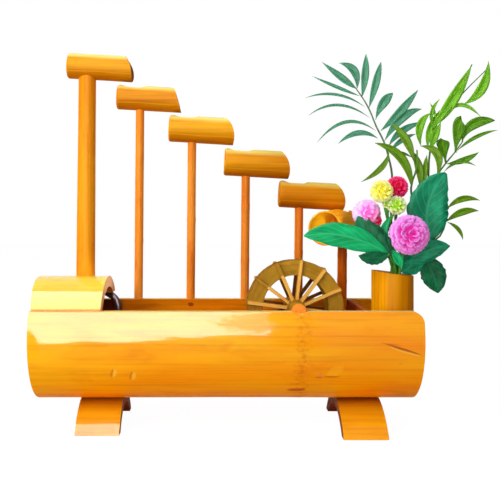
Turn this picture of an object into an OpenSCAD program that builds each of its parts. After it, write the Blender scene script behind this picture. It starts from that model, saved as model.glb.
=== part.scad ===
// Table-top bamboo fountain: a split culm basin on two arched feet, a stair of six spouts on
// posts, a water wheel, a lift-off cover over the pump, and a cup of artificial flowers.
// X runs along the basin, -Y faces the viewer, Z is up. Lengths are in millimetres.

/* [Basin] */
// length of the split culm
trough_l = 331; // [300:1:360]
// outer radius of the culm
trough_r = 57.5; // [54:0.5:61]
// wall of the culm
trough_wall = 8; // [7:0.5:9]
// height of the long cut above the culm's axis
rim_rise = 24.8; // [22:0.2:27]
// height of the culm's underside above the ground
foot_h = 24.4; // [21:0.2:28]
// wear rounding of the rim's corners at the right end
corner_r = 9; // [4:0.5:12]
// raised ring where the culm's node was
ring_rise = 0.6; // [0.2:0.1:1]
// place of that ring along the basin
ring_x = 64.6; // [50:0.2:80]
// thickness of the end discs
bulk_t = 4; // [3:0.5:4.5]
// how far the left disc sits inside the end
bulk_inset = 6; // [4:0.5:9]
// middle of the right disc
bulk_x = 119.2; // [119:0.1:119.5]

/* [Feet] */
// length of each arched foot along the basin
foot_l = 38; // [32:1:42]
// wall of the arched feet
foot_wall = 8.5; // [7.5:0.5:9.5]
// depth of the saddle that the basin lies in
foot_sink = 1.4; // [1:0.1:2]
// middle of the left foot
left_foot_x = -108.3; // [-115:0.1:-100]
// middle of the right foot
right_foot_x = 117.3; // [117:0.1:117.6]
// half of the left foot's span
left_span = 46; // [43:0.5:50]
// half of the right foot's span
right_span = 52; // [48:0.5:55]
// radius of the dowels that hold the feet
peg_r = 2; // [1.5:0.1:2.4]

/* [Posts] */
// radius of the five thin posts
post_r = 4.55; // [4:0.05:5]
// radius of their tenons
tenon_r = 3; // [2.5:0.1:3.4]
// depth of the lower tenons
tenon_l = 12; // [9:0.5:14]
// lean of all posts to the right
lean = 0.5; // [0:0.1:1]
// radius of the hollow riser at its foot
riser_r0 = 9.2; // [8.8:0.1:9.6]
// radius of the hollow riser at its head
riser_r1 = 8.2; // [7.8:0.1:8.6]
// radius of the riser's water way
riser_bore = 5.6; // [5:0.1:6]
// depth of the riser's seat below the rim
riser_seat = 16; // [12:1:20]

/* [Spouts] */
// length of the five level spouts
spout_l = 63.5; // [58:0.5:68]
// wall of the spouts
spout_wall = 3; // [2.5:0.1:3.4]
// fall of the spouts towards their mouths, in degrees
slope = 3.3; // [2:0.1:5]
// thickness of the closed left ends
cap_t = 5; // [4:0.5:6]
// how much shorter the mouths are on top
mouth_cut = 8; // [5:0.5:10]
// width of the inlets on top
inlet_w = 14; // [11:0.5:16]
// length of the inlets on top
inlet_l = 24; // [20:0.5:26]
// radius of the cup spout over the wheel
cup_r = 16; // [15:0.5:16.5]
// length of the cup spout
cup_l = 49.3; // [46:0.1:50]
// turn of the cup spout towards the wheel, in degrees
cup_turn = 30.4; // [26:0.2:34]

/* [Wheel] */
// outer radius of the rings
wheel_r = 43.3; // [40:0.1:44]
// inner radius of the rings
ring_in = 30; // [27:0.5:32]
// distance between the middles of the two rings
ring_gap = 28.5; // [24:0.5:31]
// thickness of a ring
ring_t = 2.5; // [2:0.1:3]
// width of a spoke
spoke_w = 3.6; // [3:0.1:4]
// thickness of a spoke
spoke_t = 2.5; // [2:0.1:3]
// radius of a hub disc
hub_r = 8.6; // [8:0.1:9]
// radius of the axle
axle_r = 6.4; // [5.5:0.1:6.6]
// radius of the axle's thin back end, which clears the fifth post
journal_r = 3; // [2.4:0.1:3.4]
// half of the axle's length
axle_half = 49.6; // [49:0.1:50]
// tilt of the axle, front end up, in degrees
tilt = 2; // [0:0.1:3]
// how far the paddles reach past the rings
paddle_out = 1.6; // [0.5:0.1:2.5]
// thickness of a paddle
paddle_t = 2; // [1.5:0.1:2.5]
// clearance of the axle in its two seats
run_clear = 0.05; // [0.03:0.01:0.09]
// place of the wheel along the basin
wheel_x = 62.2; // [60:0.1:64]
// height of the axle's middle below the rim
wheel_drop = 2.1; // [1.5:0.1:3]

/* [Cover] */
// length of the lift-off cover over the pump
cover_l = 60.5; // [54:0.5:66]
// wall of the cover
cover_wall = 10; // [8:0.5:11]
// height of the cover's crown above the rim
cover_rise = 26.7; // [25:0.1:29]
// left end of the cover before the basin's left end
cover_out = 0.5; // [0:0.1:1.5]

/* [Pump] */
// radius of the hose
hose_r = 3.2; // [3:0.05:3.4]
// radius of the hose's bore
hose_in = 2.1; // [1.9:0.05:2.3]
// bend radius of the hose
bend_r = 13; // [12.5:0.1:14]
// width of the pump across the basin
pump_w = 28; // [26:0.5:29]
// height of the pump
pump_h = 27; // [25:0.5:28]
// radius of the rotor
rotor_r = 6; // [5:0.1:6.5]
// clearance round the rotor's pin
pin_clear = 0.05; // [0.03:0.01:0.09]

/* [Flower cup] */
// outer radius of the cup
vase_r = 18.2; // [17:0.1:18.4]
// wall of the cup
vase_wall = 3.4; // [3:0.1:3.8]
// height of the cup above its seat
vase_h = 83.6; // [76:0.2:90]
// fall of the cup's rim to the right, in degrees
vase_slant = 7.5; // [3:0.5:9]
// room between the right disc and the cup
vase_gap = 6.6; // [6.2:0.1:7]
// middle of the cup across the basin
vase_y = -22; // [-22.5:0.1:-20]
// height of the cup's wooden seat above the ground
seat_z = 56; // [54:0.5:60]

/* [Flowers] */
// thickness of the leaves
leaf_t = 1.1; // [1:0.1:1.4]
// radius of the thicker stems
stem_r = 1.3; // [1.1:0.05:1.5]
// radius of the large ball-shaped head
ball_r = 17.4; // [15:0.1:17.8]
// radius of the pale pink head
bloom_a = 11.6; // [9:0.1:11.8]
// radius of the yellow head
bloom_b = 9.6; // [8:0.1:9.8]
// radius of the crimson head
bloom_c = 9.2; // [8:0.1:9.4]
// reach of the rightmost leaf from the basin's middle
reach = 242; // [236:1:246]

/* [Hidden] */
$fn = 48;
axis_z = foot_h + trough_r;
rim_z = axis_z + rim_rise;
in_r = trough_r - trough_wall;
rim_out = sqrt(pow(trough_r, 2) - pow(rim_rise, 2));
rim_in = sqrt(pow(in_r, 2) - pow(rim_rise, 2));
land_y = (rim_out + rim_in) / 2;
half_l = trough_l / 2;
// the part's origin is on the ground under the middle of its box
frame_x = -(reach - half_l - cover_out) / 2;
ball_front = 44;
// the feet's dowels, below and above the basin's underside
peg_down = 6;
peg_up = 5;
peg_apart = 10;
// where both feet end at the back
heel_y = 50;

// the riser stands this far in from the basin's left end, and its spout reaches back from it
riser_in = 30.8;
spout_back = 17.8;

// posts from left to right, and the spouts that stand on the first five
post_x = [riser_in - half_l, -83.5, -33.1, 19.1, 70.8, 113];
spout_x = [riser_in - half_l - spout_back, -105, -55, -1.9, 50.8];
spout_z = [329.8, 299.7, 269.5, 237.1, 206.3];
spout_r = [12.2, 11.8, 12.9, 13.2, 12.9];
mouth_r = [26, 200, 26, 28, 27];
frame_y = (ball_front + ball_r - land_y - max(spout_r)) / 2;
cup_z = 177.6;
cup_fall = 3;
cup_back = 6;
// the cup spout's mouth, almost square and gently curved
cup_cut = 3;
cup_mouth_r = 60;

cover_x = -half_l - cover_out;
cover_half = rim_out;
cover_r = (pow(cover_half, 2) + pow(cover_rise, 2)) / (2 * cover_rise);
cover_cz = rim_z + cover_rise - cover_r;
notch_y = 29;
notch_z0 = 7.6;
notch_z1 = 18;

wheel_z = rim_z - wheel_drop;
paddle_r = wheel_r + paddle_out;
ring_z = ring_gap / 2;
spoke_n = 12;
// play between the axle's back shoulder and the wall
shoulder_gap = 1;
spoke_from = 23;

floor_z = foot_h + trough_wall;
gland_room = 15.5;
pump_l = 33.5;
volute_l = 11.5;
pump_x0 = -half_l + bulk_inset + bulk_t + gland_room;
volute_x0 = pump_x0 + pump_l;
volute_x1 = volute_x0 + volute_l;
// how high the pump stands on its suction cups, and its nozzle above its base
pump_lift = 4.1;
nozzle_rise = 13.5;
pump_z0 = floor_z + pump_lift;
nozzle_z = pump_z0 + nozzle_rise;

// the hose runs in the upright plane through the riser's axis and hose_foot
hose_foot = [volute_x0 + 5.3, 34.5];
hose_run = norm([hose_foot[0] - post_x[0], hose_foot[1] - land_y]);
hose_dir = atan2(hose_foot[1] - land_y, hose_foot[0] - post_x[0]);
hose_dip = 25;
hose_drop = 7.4;
hose_turn_z = rim_z - hose_drop;
hose_t0 = hose_run - bend_r * (1 - sin(hose_dip));
hose_z0 = hose_turn_z + bend_r * cos(hose_dip);
low_bend = 12;
nozzle_y = hose_foot[1] - low_bend;

pump_y = -1;
pump_back = pump_y + pump_w / 2;
rotor_z = nozzle_z;
chamber_r = 11;
chamber_l = 9;
well_l = 22;
pin_r = 1;
cup_foot_r = 6;

vase_x = bulk_x + bulk_t / 2 + vase_gap + vase_r;
vase_in = vase_r - vase_wall;
vase_floor = 4;
foam_r = vase_in - 0.3;
foam_h = 34;

// moves drawn coordinates, which count X and Y from the basin's middle, to the part's origin
module placed() {
    translate([frame_x, frame_y, 0]) children();
}

// a cylinder along X
module along_x(r, x0, x1, y = 0, z = 0) {
    translate([x0, y, z]) rotate([0, 90, 0]) cylinder(r = r, h = x1 - x0);
}

// a round bar between two points
module bar(a, b, r) {
    d = b - a;
    translate(a) rotate([0, acos(d[2] / norm(d)), atan2(d[1], d[0])]) cylinder(r = r, h = norm(d), $fn = 24);
}

// bars through a list of points, with a small knot at each bend
module bars(p, r) {
    knot = 1.35 * r;
    last = len(p) - 1;
    for (i = [0 : last - 1]) {
        u = (p[i + 1] - p[i]) / norm(p[i + 1] - p[i]) * 0.55 * knot;
        bar(p[i] + (i > 0 ? u : 0 * u), p[i + 1] - (i < last - 1 ? u : 0 * u), r);
    }
    if (last > 1) for (i = [1 : last - 1]) translate(p[i]) sphere(r = knot, $fn = 24);
}

// basin
module culm_blank() {
    translate([-half_l, 0, axis_z]) rotate([0, 90, 0]) {
        cylinder(r = trough_r, h = trough_l);
        translate([0, 0, half_l + ring_x - 6]) cylinder(r1 = trough_r, r2 = trough_r + ring_rise, h = 6);
        translate([0, 0, half_l + ring_x]) cylinder(r1 = trough_r + ring_rise, r2 = trough_r, h = 6);
    }
}

// rounds both rims at the right end
module worn_corner() {
    difference() {
        translate([half_l - corner_r, -trough_r, rim_z - corner_r])
            cube([corner_r + 1, 2 * trough_r, corner_r + 1]);
        translate([half_l - corner_r, trough_r + 1, rim_z - corner_r])
            rotate([90, 0, 0]) cylinder(r = corner_r, h = 2 * trough_r + 2);
    }
}

module seat_slot(r, z0, z1) {
    translate([0, 0, z0]) cylinder(r = r, h = z1 - z0);
    translate([-r, 0, z0]) cube([2 * r, 40, z1 - z0]);
}

// the axle's two seats, open upwards, with a dip in the front lip
module axle_seats() {
    seat_half = axle_half + 0.3;
    wheel_frame() {
        seat_slot(axle_r + run_clear, -seat_half, 0);
        seat_slot(journal_r + run_clear, 0, seat_half);
    }
    translate([wheel_x, 0, rim_z + 10]) rotate([90, 0, 0]) cylinder(r = 11.8, h = trough_r + 5);
}

// seen along local -Z from the front: local Z is the axle, pointing away from the viewer
module wheel_frame() {
    translate([wheel_x, 0, wheel_z]) rotate([-90 - tilt, 0, 0]) mirror([0, 1, 0]) children();
}

module riser_blank() {
    translate([post_x[0], land_y, rim_z - riser_seat]) rotate([0, lean, 0])
        cylinder(r1 = riser_r0, r2 = riser_r1, h = spout_mid(0) - rim_z + riser_seat);
}

module post_axis(i) {
    translate([post_x[i], land_y, rim_z]) rotate([0, lean, 0]) children();
}

function peg_xs(x) = [x - peg_apart, x + peg_apart];

module foot_pegs(x) {
    for (px = peg_xs(x)) translate([px, 0, foot_h - peg_down]) cylinder(r = peg_r, h = peg_down + peg_up);
}

module trough() {
    color("goldenrod") placed() difference() {
        culm_blank();
        along_x(in_r, -half_l - 1, half_l + 1, 0, axis_z);
        translate([-half_l - 1, -trough_r - 5, rim_z]) cube([trough_l + 2, 2 * trough_r + 10, trough_r]);
        worn_corner();
        axle_seats();
        riser_blank();
        for (i = [1 : 5]) post_axis(i) translate([0, 0, -tenon_l]) cylinder(r = tenon_r, h = tenon_l + 1);
        foot_pegs(left_foot_x);
        foot_pegs(right_foot_x);
    }
}

module end_disc(x0) {
    intersection() {
        along_x(in_r, x0, x0 + bulk_t, 0, axis_z);
        translate([x0 - 1, -trough_r, 0]) cube([bulk_t + 2, 2 * trough_r, rim_z]);
    }
}

module left_bulkhead() {
    color("peru") placed() end_disc(-half_l + bulk_inset);
}

module right_bulkhead() {
    color("peru") placed() end_disc(bulk_x - bulk_t / 2);
}

// an arched foot cut from a wider culm, with a saddle for the basin
module foot(x, y, span) {
    rise = foot_h + foot_sink;
    r = (pow(span, 2) + pow(rise, 2)) / (2 * rise);
    difference() {
        along_x(r, x - foot_l / 2, x + foot_l / 2, y, rise - r);
        along_x(r - foot_wall, x - foot_l, x + foot_l, y, rise - r);
        translate([x - foot_l, y - 2 * r, -3 * r]) cube([2 * foot_l, 4 * r, 3 * r]);
        along_x(trough_r, x - foot_l, x + foot_l, 0, axis_z);
        foot_pegs(x);
    }
}

module left_foot() {
    color("darkgoldenrod") placed() foot(left_foot_x, heel_y - left_span, left_span);
}

module right_foot() {
    color("darkgoldenrod") placed() foot(right_foot_x, heel_y - right_span, right_span);
}

module left_foot_pegs() {
    color("tan") placed() foot_pegs(left_foot_x);
}

module right_foot_pegs() {
    color("tan") placed() foot_pegs(right_foot_x);
}

// posts and spouts
function spout_mid(i) = spout_z[i] + (spout_x[i] + spout_l / 2 - post_x[i]) * tan(slope);

// local X along the spout from its closed end, local Z up
module spout_frame(i) {
    translate([spout_x[i], land_y, spout_z[i] + spout_l / 2 * sin(slope)]) rotate([0, slope, 0]) children();
}

module tube_blank(r, l) {
    edge = 1.5;
    translate([edge, 0, 0]) rotate([0, 90, 0]) cylinder(r = r, h = l - edge);
    rotate([0, 90, 0]) cylinder(r1 = r - edge, r2 = r, h = edge);
}

// takes away what lies past a mouth curved with radius m
module mouth_trim(r, l, cut, m) {
    half = norm([cut / 2, r]);
    away = sqrt(m * m - half * half);
    cx = l - cut / 2 - away * r / half;
    cz = -away * cut / 2 / half;
    difference() {
        translate([l - cut - 3, -r - 1, -r - 1]) cube([cut + 8, 2 * r + 2, 2 * r + 2]);
        translate([cx, r + 2, cz]) rotate([90, 0, 0]) cylinder(r = m, h = 2 * r + 4, $fn = 96);
    }
}

module inlet(from) {
    w = inlet_w / 2;
    translate([from + w, 0, 0]) cylinder(r = w, h = 30);
    translate([from + inlet_l - w, 0, 0]) cylinder(r = w, h = 30);
    translate([from + w, -w, 0]) cube([inlet_l - 2 * w, inlet_w, 30]);
}

module tenon_way(i) {
    if (i == 0) translate([post_x[0], land_y, rim_z - riser_seat]) rotate([0, lean, 0])
        translate([0, 0, riser_seat + 8]) cylinder(r = riser_bore, h = spout_mid(0) - rim_z - 8);
    else post_axis(i) cylinder(r = tenon_r, h = spout_mid(i) - rim_z - spout_r[i] + spout_wall + 1.5);
}

module spout(i) {
    difference() {
        spout_frame(i) tube_blank(spout_r[i], spout_l);
        spout_frame(i) along_x(spout_r[i] - spout_wall, cap_t, spout_l + 5);
        spout_frame(i) mouth_trim(spout_r[i], spout_l, mouth_cut, mouth_r[i]);
        if (i > 0) spout_frame(i) inlet(cap_t - 1);
        tenon_way(i);
    }
}

module thin_post(i, head) {
    difference() {
        post_axis(i) cylinder(r = post_r, h = head - rim_z);
        if (i < 5) spout_frame(i) tube_blank(spout_r[i], spout_l);
        else cup_frame() tube_blank(cup_r, cup_l);
    }
    post_axis(i) translate([0, 0, -tenon_l]) cylinder(r = tenon_r, h = tenon_l + 1);
}

module posted(i) {
    color("chocolate") placed() {
        thin_post(i, spout_mid(i));
        tenon_way(i);
    }
}

module post_2() { posted(1); }
module post_3() { posted(2); }
module post_4() { posted(3); }
module post_5() { posted(4); }

module cup_tenon() {
    post_axis(5) cylinder(r = tenon_r, h = cup_z - rim_z - cup_r + spout_wall + 1.5);
}

module post_6() {
    color("chocolate") placed() {
        thin_post(5, cup_z);
        cup_tenon();
    }
}

module hose_way(r) {
    translate([post_x[0], land_y, 0]) rotate([0, 0, hose_dir])
        translate([hose_t0, 0, hose_z0]) rotate([0, -90 + hose_dip, 0])
            cylinder(r = r, h = (hose_t0 - riser_bore * 0.6) / cos(hose_dip));
}

module riser_post() {
    color("chocolate") placed() difference() {
        riser_blank();
        spout_frame(0) tube_blank(spout_r[0], spout_l);
        tenon_way(0);
        hose_way(hose_r);
    }
}

module spout_1() { color("gold") placed() spout(0); }
module spout_2() { color("gold") placed() spout(1); }
module spout_3() { color("gold") placed() spout(2); }
module spout_4() { color("gold") placed() spout(3); }
module spout_5() { color("gold") placed() spout(4); }

// the cup spout's closed end is behind the last post, and its mouth faces the wheel
module cup_frame() {
    translate([post_x[5], land_y, cup_z]) rotate([0, 0, -90 - cup_turn]) rotate([0, cup_fall, 0])
        translate([-cup_back, 0, 0]) children();
}

module cup_spout() {
    color("orange") placed() difference() {
        cup_frame() tube_blank(cup_r, cup_l);
        cup_frame() along_x(cup_r - spout_wall, cap_t, cup_l + 5);
        cup_frame() mouth_trim(cup_r, cup_l, cup_cut, cup_mouth_r);
        translate([post_x[5] - 1, land_y - 3, cup_z]) cylinder(r = 9.4, h = 30);
        cup_tenon();
    }
}

// cover
module cover() {
    x1 = cover_x + cover_l;
    slot0 = post_x[0] - 12.3;
    slot1 = post_x[0] + 12.2;
    color("khaki") placed() difference() {
        along_x(cover_r, cover_x, x1, 0, cover_cz);
        along_x(cover_r - cover_wall, cover_x - 1, x1 + 1, 0, cover_cz);
        translate([cover_x - 1, -2 * cover_r, rim_z - 3 * cover_r])
            cube([cover_l + 2, 4 * cover_r, 3 * cover_r]);
        // way for the riser and the hose in the far leg
        translate([0, 2 * cover_r, 0]) rotate([90, 0, 0]) linear_extrude(2 * cover_r - notch_y) polygon([
            [slot0, rim_z - 1], [x1 + 1, rim_z - 1], [x1 + 1, rim_z + notch_z0],
            [slot1, rim_z + notch_z1], [slot0, rim_z + notch_z1]
        ]);
    }
}

// hose and pump
// the bends are a hair thinner than the straight runs, which reach a little into them
module hose_solid(r) {
    lap = 0.5;
    thin = r - 0.02;
    translate([post_x[0], land_y, 0]) rotate([0, 0, hose_dir]) {
        // upper straight run, in the riser's hole
        translate([hose_t0, 0, hose_z0]) rotate([0, -90 + hose_dip, 0]) translate([0, 0, -lap])
            cylinder(r = r, h = lap + (hose_t0 - riser_bore * 0.6) / cos(hose_dip));
        // upper bend
        translate([hose_run - bend_r, 0, hose_turn_z]) rotate([90, 0, 0])
            rotate_extrude(angle = 90 - hose_dip) translate([bend_r, 0]) circle(r = thin);
    }
    // drop
    translate([hose_foot[0], hose_foot[1], nozzle_z + low_bend - lap])
        cylinder(r = r, h = hose_turn_z - nozzle_z - low_bend + 2 * lap);
    // lower bend
    translate([hose_foot[0], nozzle_y, nozzle_z + low_bend]) rotate([0, 0, 90]) rotate([90, 0, 0])
        rotate([0, 0, -90]) rotate_extrude(angle = 90) translate([low_bend, 0]) circle(r = thin);
    // run over the nozzle
    translate([hose_foot[0], pump_back, nozzle_z]) rotate([-90, 0, 0])
        cylinder(r = r, h = nozzle_y - pump_back + lap);
}

module hose() {
    color("#2a1a1a") placed() difference() {
        hose_solid(hose_r);
        hose_solid(hose_in);
    }
}

module pump_housing() {
    color("#303236") placed() difference() {
        translate([pump_x0, pump_y - pump_w / 2, pump_z0])
            cube([volute_x0 - pump_x0, pump_w, pump_h]);
        along_x(rotor_r + 0.6, volute_x0 - well_l, volute_x0 + 1, pump_y, rotor_z);
        along_x(pin_r, volute_x0 - well_l - 5, volute_x0, pump_y, rotor_z);
    }
}

module pump_volute() {
    color("#26282b") placed() difference() {
        union() {
            translate([volute_x0, pump_y - pump_w / 2, pump_z0])
                cube([volute_x1 - volute_x0, pump_w, pump_h]);
            translate([hose_foot[0], pump_back - 1, nozzle_z]) rotate([-90, 0, 0])
                cylinder(r = hose_in, h = 9);
        }
        along_x(chamber_r, volute_x0 - 1, volute_x0 + chamber_l, pump_y, rotor_z);
        along_x(4, volute_x0, volute_x1 + 1, pump_y, rotor_z);
        translate([hose_foot[0], pump_y, nozzle_z]) rotate([-90, 0, 0])
            cylinder(r = hose_in - 0.8, h = pump_w);
    }
}

module pump_screen() {
    slots = 5;
    color("#1c1d1f") placed() difference() {
        translate([volute_x1, pump_y - 11, rotor_z - 11]) cube([5, 22, 22]);
        translate([volute_x1 - 1, pump_y - 9, rotor_z - 9]) cube([4, 18, 18]);
        for (k = [0 : slots - 1]) translate([volute_x1 + 2, pump_y - 8, rotor_z - 8.2 + k * 3.6])
            cube([5, 16, 2]);
    }
}

module pump_rotor() {
    color("#3a3f47") placed() difference() {
        union() {
            along_x(rotor_r, volute_x0 - well_l + 1, volute_x0 + 1.5, pump_y, rotor_z);
            along_x(rotor_r + 3.4, volute_x0 + 1.5, volute_x0 + 3, pump_y, rotor_z);
            for (k = [0 : 5]) translate([volute_x0 + 3, pump_y, rotor_z]) rotate([k * 60, 0, 0])
                translate([0, 2.2, -0.7]) cube([3.4, rotor_r + 1, 1.4]);
            along_x(2.9, volute_x0 + 3, volute_x0 + 6.4, pump_y, rotor_z);
        }
        along_x(pin_r + pin_clear, volute_x0 - well_l, volute_x0 + 9, pump_y, rotor_z);
    }
}

module pump_pin() {
    color("silver") placed() along_x(pin_r, volute_x0 - well_l - 5, volute_x0 + 7.4, pump_y, rotor_z);
}

// suction cups under the pump, trimmed to the basin's inner wall
module pump_cups() {
    color("#4a4a4a") placed() for (x = [pump_x0 + 8, volute_x1 - 8]) {
        intersection() {
            translate([x, 0, foot_h]) cylinder(r = cup_foot_r, h = trough_wall + 2.4);
            along_x(in_r, x - 10, x + 10, 0, axis_z, $fn = 240);
        }
        translate([x, 0, floor_z + 1]) cylinder(r = 2.5, h = pump_z0 - floor_z - 1);
    }
}

module pump_gland() {
    color("#141414") placed() along_x(3, pump_x0 - 7, pump_x0, pump_y, rotor_z + 6);
}

// wheel
module axle() {
    edge = 1.2;
    shoulder = rim_in - shoulder_gap;
    color("darkorange") placed() wheel_frame() {
        translate([0, 0, -axle_half]) cylinder(r1 = axle_r - edge, r2 = axle_r, h = edge);
        translate([0, 0, edge - axle_half]) cylinder(r = axle_r, h = axle_half - edge + shoulder);
        translate([0, 0, shoulder]) cylinder(r = journal_r, h = axle_half - shoulder);
    }
}

module hub_at(z0) {
    translate([0, 0, z0]) difference() {
        cylinder(r = hub_r, h = ring_t + spoke_t);
        translate([0, 0, -1]) cylinder(r = axle_r, h = ring_t + spoke_t + 2);
    }
}

module front_hub() {
    color("darkkhaki") placed() wheel_frame() hub_at(-ring_z - ring_t / 2 - spoke_t);
}

module back_hub() {
    color("darkkhaki") placed() wheel_frame() hub_at(ring_z - ring_t / 2);
}

module ring_at(z0) {
    translate([0, 0, z0]) difference() {
        cylinder(r = wheel_r, h = ring_t, $fn = 96);
        translate([0, 0, -1]) cylinder(r = ring_in, h = ring_t + 2, $fn = 96);
    }
}

module front_ring() {
    color("olive") placed() wheel_frame() ring_at(-ring_z - ring_t / 2);
}

module back_ring() {
    color("olive") placed() wheel_frame() ring_at(ring_z - ring_t / 2);
}

module spokes_at(z0) {
    translate([0, 0, z0]) difference() {
        for (k = [0 : spoke_n - 1]) rotate([0, 0, spoke_from + k * 360 / spoke_n])
            translate([hub_r - 1, -spoke_w / 2, 0]) cube([wheel_r + 0.6 - hub_r + 1, spoke_w, spoke_t]);
        translate([0, 0, -1]) cylinder(r = hub_r, h = spoke_t + 2);
    }
}

module front_spokes() {
    color("burlywood") placed() wheel_frame() spokes_at(-ring_z - ring_t / 2 - spoke_t);
}

module back_spokes() {
    color("burlywood") placed() wheel_frame() spokes_at(ring_z + ring_t / 2);
}

module paddles() {
    color("olive") placed() wheel_frame() for (k = [0 : spoke_n - 1])
        rotate([0, 0, spoke_from + k * 360 / spoke_n])
            translate([ring_in + 1, -paddle_t / 2, -ring_z + ring_t / 2])
                cube([paddle_r - ring_in - 1, paddle_t, ring_gap - ring_t]);
}

// flower cup
module vase_seat() {
    x0 = bulk_x + bulk_t / 2;
    color("peru") placed() difference() {
        intersection() {
            along_x(in_r, x0, half_l - 3, 0, axis_z);
            translate([x0 - 1, -trough_r, 0]) cube([trough_l, 2 * trough_r, seat_z]);
        }
        peg_blank();
    }
}

module peg_blank() {
    translate([vase_x, vase_y, seat_z - 10]) cylinder(r = 3, h = 10 + vase_floor);
}

module vase_peg() {
    color("tan") placed() peg_blank();
}

module vase() {
    color("orange") placed() difference() {
        translate([vase_x, vase_y, seat_z]) cylinder(r = vase_r, h = vase_h + 10, $fn = 96);
        translate([vase_x, vase_y, seat_z + vase_floor]) cylinder(r = vase_in, h = vase_h + 10, $fn = 96);
        translate([vase_x - vase_r, vase_y - 2 * vase_r, seat_z + vase_h]) rotate([0, vase_slant, 0])
            translate([-vase_r, 0, 0]) cube([4 * vase_r, 4 * vase_r, 2 * vase_r]);
        peg_blank();
    }
}

// flowers, drawn round a cup standing at draw_at
draw_at = [146, -22, 56];

module bouquet() {
    placed() translate([vase_x - draw_at[0], vase_y - draw_at[1], seat_z - draw_at[2]]) children();
}

// a flat leaf in the plane at y, which leaves its base [x, z] at an angle and bows to its left
module blade(base, angle, length, w, bow, y, full = 1) {
    n = 7;
    ahead = [cos(angle), sin(angle)];
    aside = [-ahead[1], ahead[0]];
    function at(t) = base + ahead * length * t + aside * 4 * bow * t * (1 - t);
    function half(t) = w / 2 * pow(sin(180 * t), full);
    left = [for (i = [1 : n - 1]) at(i / n) + aside * half(i / n)];
    right = [for (i = [n - 1 : -1 : 1]) at(i / n) - aside * half(i / n)];
    translate([0, y + leaf_t / 2, 0]) rotate([90, 0, 0]) linear_extrude(leaf_t)
        polygon(concat([at(0)], left, [at(1)], right));
}

// the point of a rib at a place counted in its own points
function on_rib(rib, t) = let (i = min(floor(t), len(rib) - 2)) rib[i] + (rib[i + 1] - rib[i]) * (t - i);

// leaves on a rib, each a row of place, angle, length, width, bow and fullness
module leaves(rib, y, rows) {
    for (l = rows) blade(on_rib(rib, l[0]), l[1], l[2], l[3], l[4], y, l[5]);
}

// a stem through the foam and the cup's mouth, and on along its rib
module ribbed(at, mid, rib, y, r) {
    bars(concat(upright(at), [mid], [for (p = rib) [p[0], y, p[1]]]), r);
}

// where the stems stand in the foam
palm_at = [144.5, -12];
fan_at = [153.6, -14.4];
lime_at = [149, -12.6];
olive_at = [150, -18];
low_at = [156, -20.8];
crimson_at = [144.5, -18.5];
yellow_at = [140, -26];
pale_at = [136.5, -21];
ball_at = [150.6, -30.4];
broad_at = [144.5, -31.5];

// each sprig lies in a layer of its own
palm_y = -10;
lime_y = -5;
fan_y = 1;
olive_y = -16;
low_y = -21;
broad_y = -25.6;
front_y = -47.5;

stem_foot = draw_at[2] + vase_floor + 4;
stem_bend = draw_at[2] + vase_floor + foam_h + 3.5;
fine_stem_r = 0.85 * stem_r;
thin_stem_r = 0.77 * stem_r;

// a stem's upright length, from inside the foam to just above it
function upright(p) = [[p[0], p[1], stem_foot], [p[0], p[1], stem_bend]];

// where the stems leave the cup's mouth
palm_mid = [145.5, -11, 142];
lime_mid = [151.5, -12, 142];
olive_mid = [153.5, -17.6, 142];
fan_mid = [156, -14.6, 142];
low_mid = [158.4, -20.8, 142];
fork = [141, -33, 142];
ball_mid = [152.4, -32.4, 142];
pale_mid = [134.6, -24.4, 142];
yellow_mid = [138, -27, 150];
crimson_mid = [145.8, -19.6, 150];

// a palm frond: its leaves open in steps down both sides of the rib
palm_rib = [[147, 223], [145, 237], [140, 252], [134, 266], [127, 281], [116, 300]];

module palm_shape() {
    ribbed(palm_at, palm_mid, palm_rib, palm_y, fine_stem_r);
    blade(palm_rib[5], 124, 28, 6.6, 0, palm_y, 0.7);
    for (k = [0 : 5]) {
        blade(on_rib(palm_rib, 4.9 - 0.5 * k), 142 + 55 * sin(18 * k), 40 + 16 * sin(36 * k), 5,
            -1 - 2 * k, palm_y);
        blade(on_rib(palm_rib, 4.5 - 0.6 * k), 86 - 10 * k, 42, 7, 1.6 * k - 2, palm_y);
    }
}

lime_rib = [[178, 201], [180, 236], [187, 269], [206, 299], [218, 321]];

module lime_shape() {
    ribbed(lime_at, lime_mid, lime_rib, lime_y, thin_stem_r);
    leaves(lime_rib, lime_y, [
        [1.9, 60, 49, 10, 0, 0.7], [3.1, 41, 33, 9, -9, 1], [2.3, -5, 33, 4, 8, 1],
        [2, 110, 19, 3.4, -2, 1], [1.3, 100, 35, 7, 7, 1], [1.7, 78, 32, 4, -4, 1]
    ]);
}

olive_rib = [[164, 205], [167, 226], [164, 246]];

module olive_shape() {
    ribbed(olive_at, olive_mid, olive_rib, olive_y, fine_stem_r);
    leaves(olive_rib, olive_y, [
        [0.2, 127, 54, 8.4, -8, 1], [0.6, 111, 52, 7.4, -5, 1], [0.9, 80, 28, 7.4, -10, 1],
        [1.7, 18, 22, 4, 2.5, 1]
    ]);
    // this one grows from the first leaf's middle
    blade([152, 236], 210, 37, 5.2, -4, olive_y);
}

fan_rib = [[189, 224], [196, 234], [204, 244], [211, 253.5]];

// the longest leaf reaches the part's right end
module fan_shape() {
    far_tip = reach - vase_x + draw_at[0];
    ribbed(fan_at, fan_mid, fan_rib, fan_y, thin_stem_r);
    leaves(fan_rib, fan_y, [
        [2, 85, 31, 12, 0, 0.5], [2.8, 33, 35, 11, 3, 0.8], [1, 102, 23, 10, 1, 0.5],
        [1, 18, 31, 5.4, -2, 1], [0.7, -1, 28, 3.2, 3, 1]
    ]);
    blade(fan_rib[2], 26, (far_tip - fan_rib[2][0]) / cos(26), 5, 2, fan_y);
}

low_rib = [[190, 176], [196, 195]];

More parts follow.
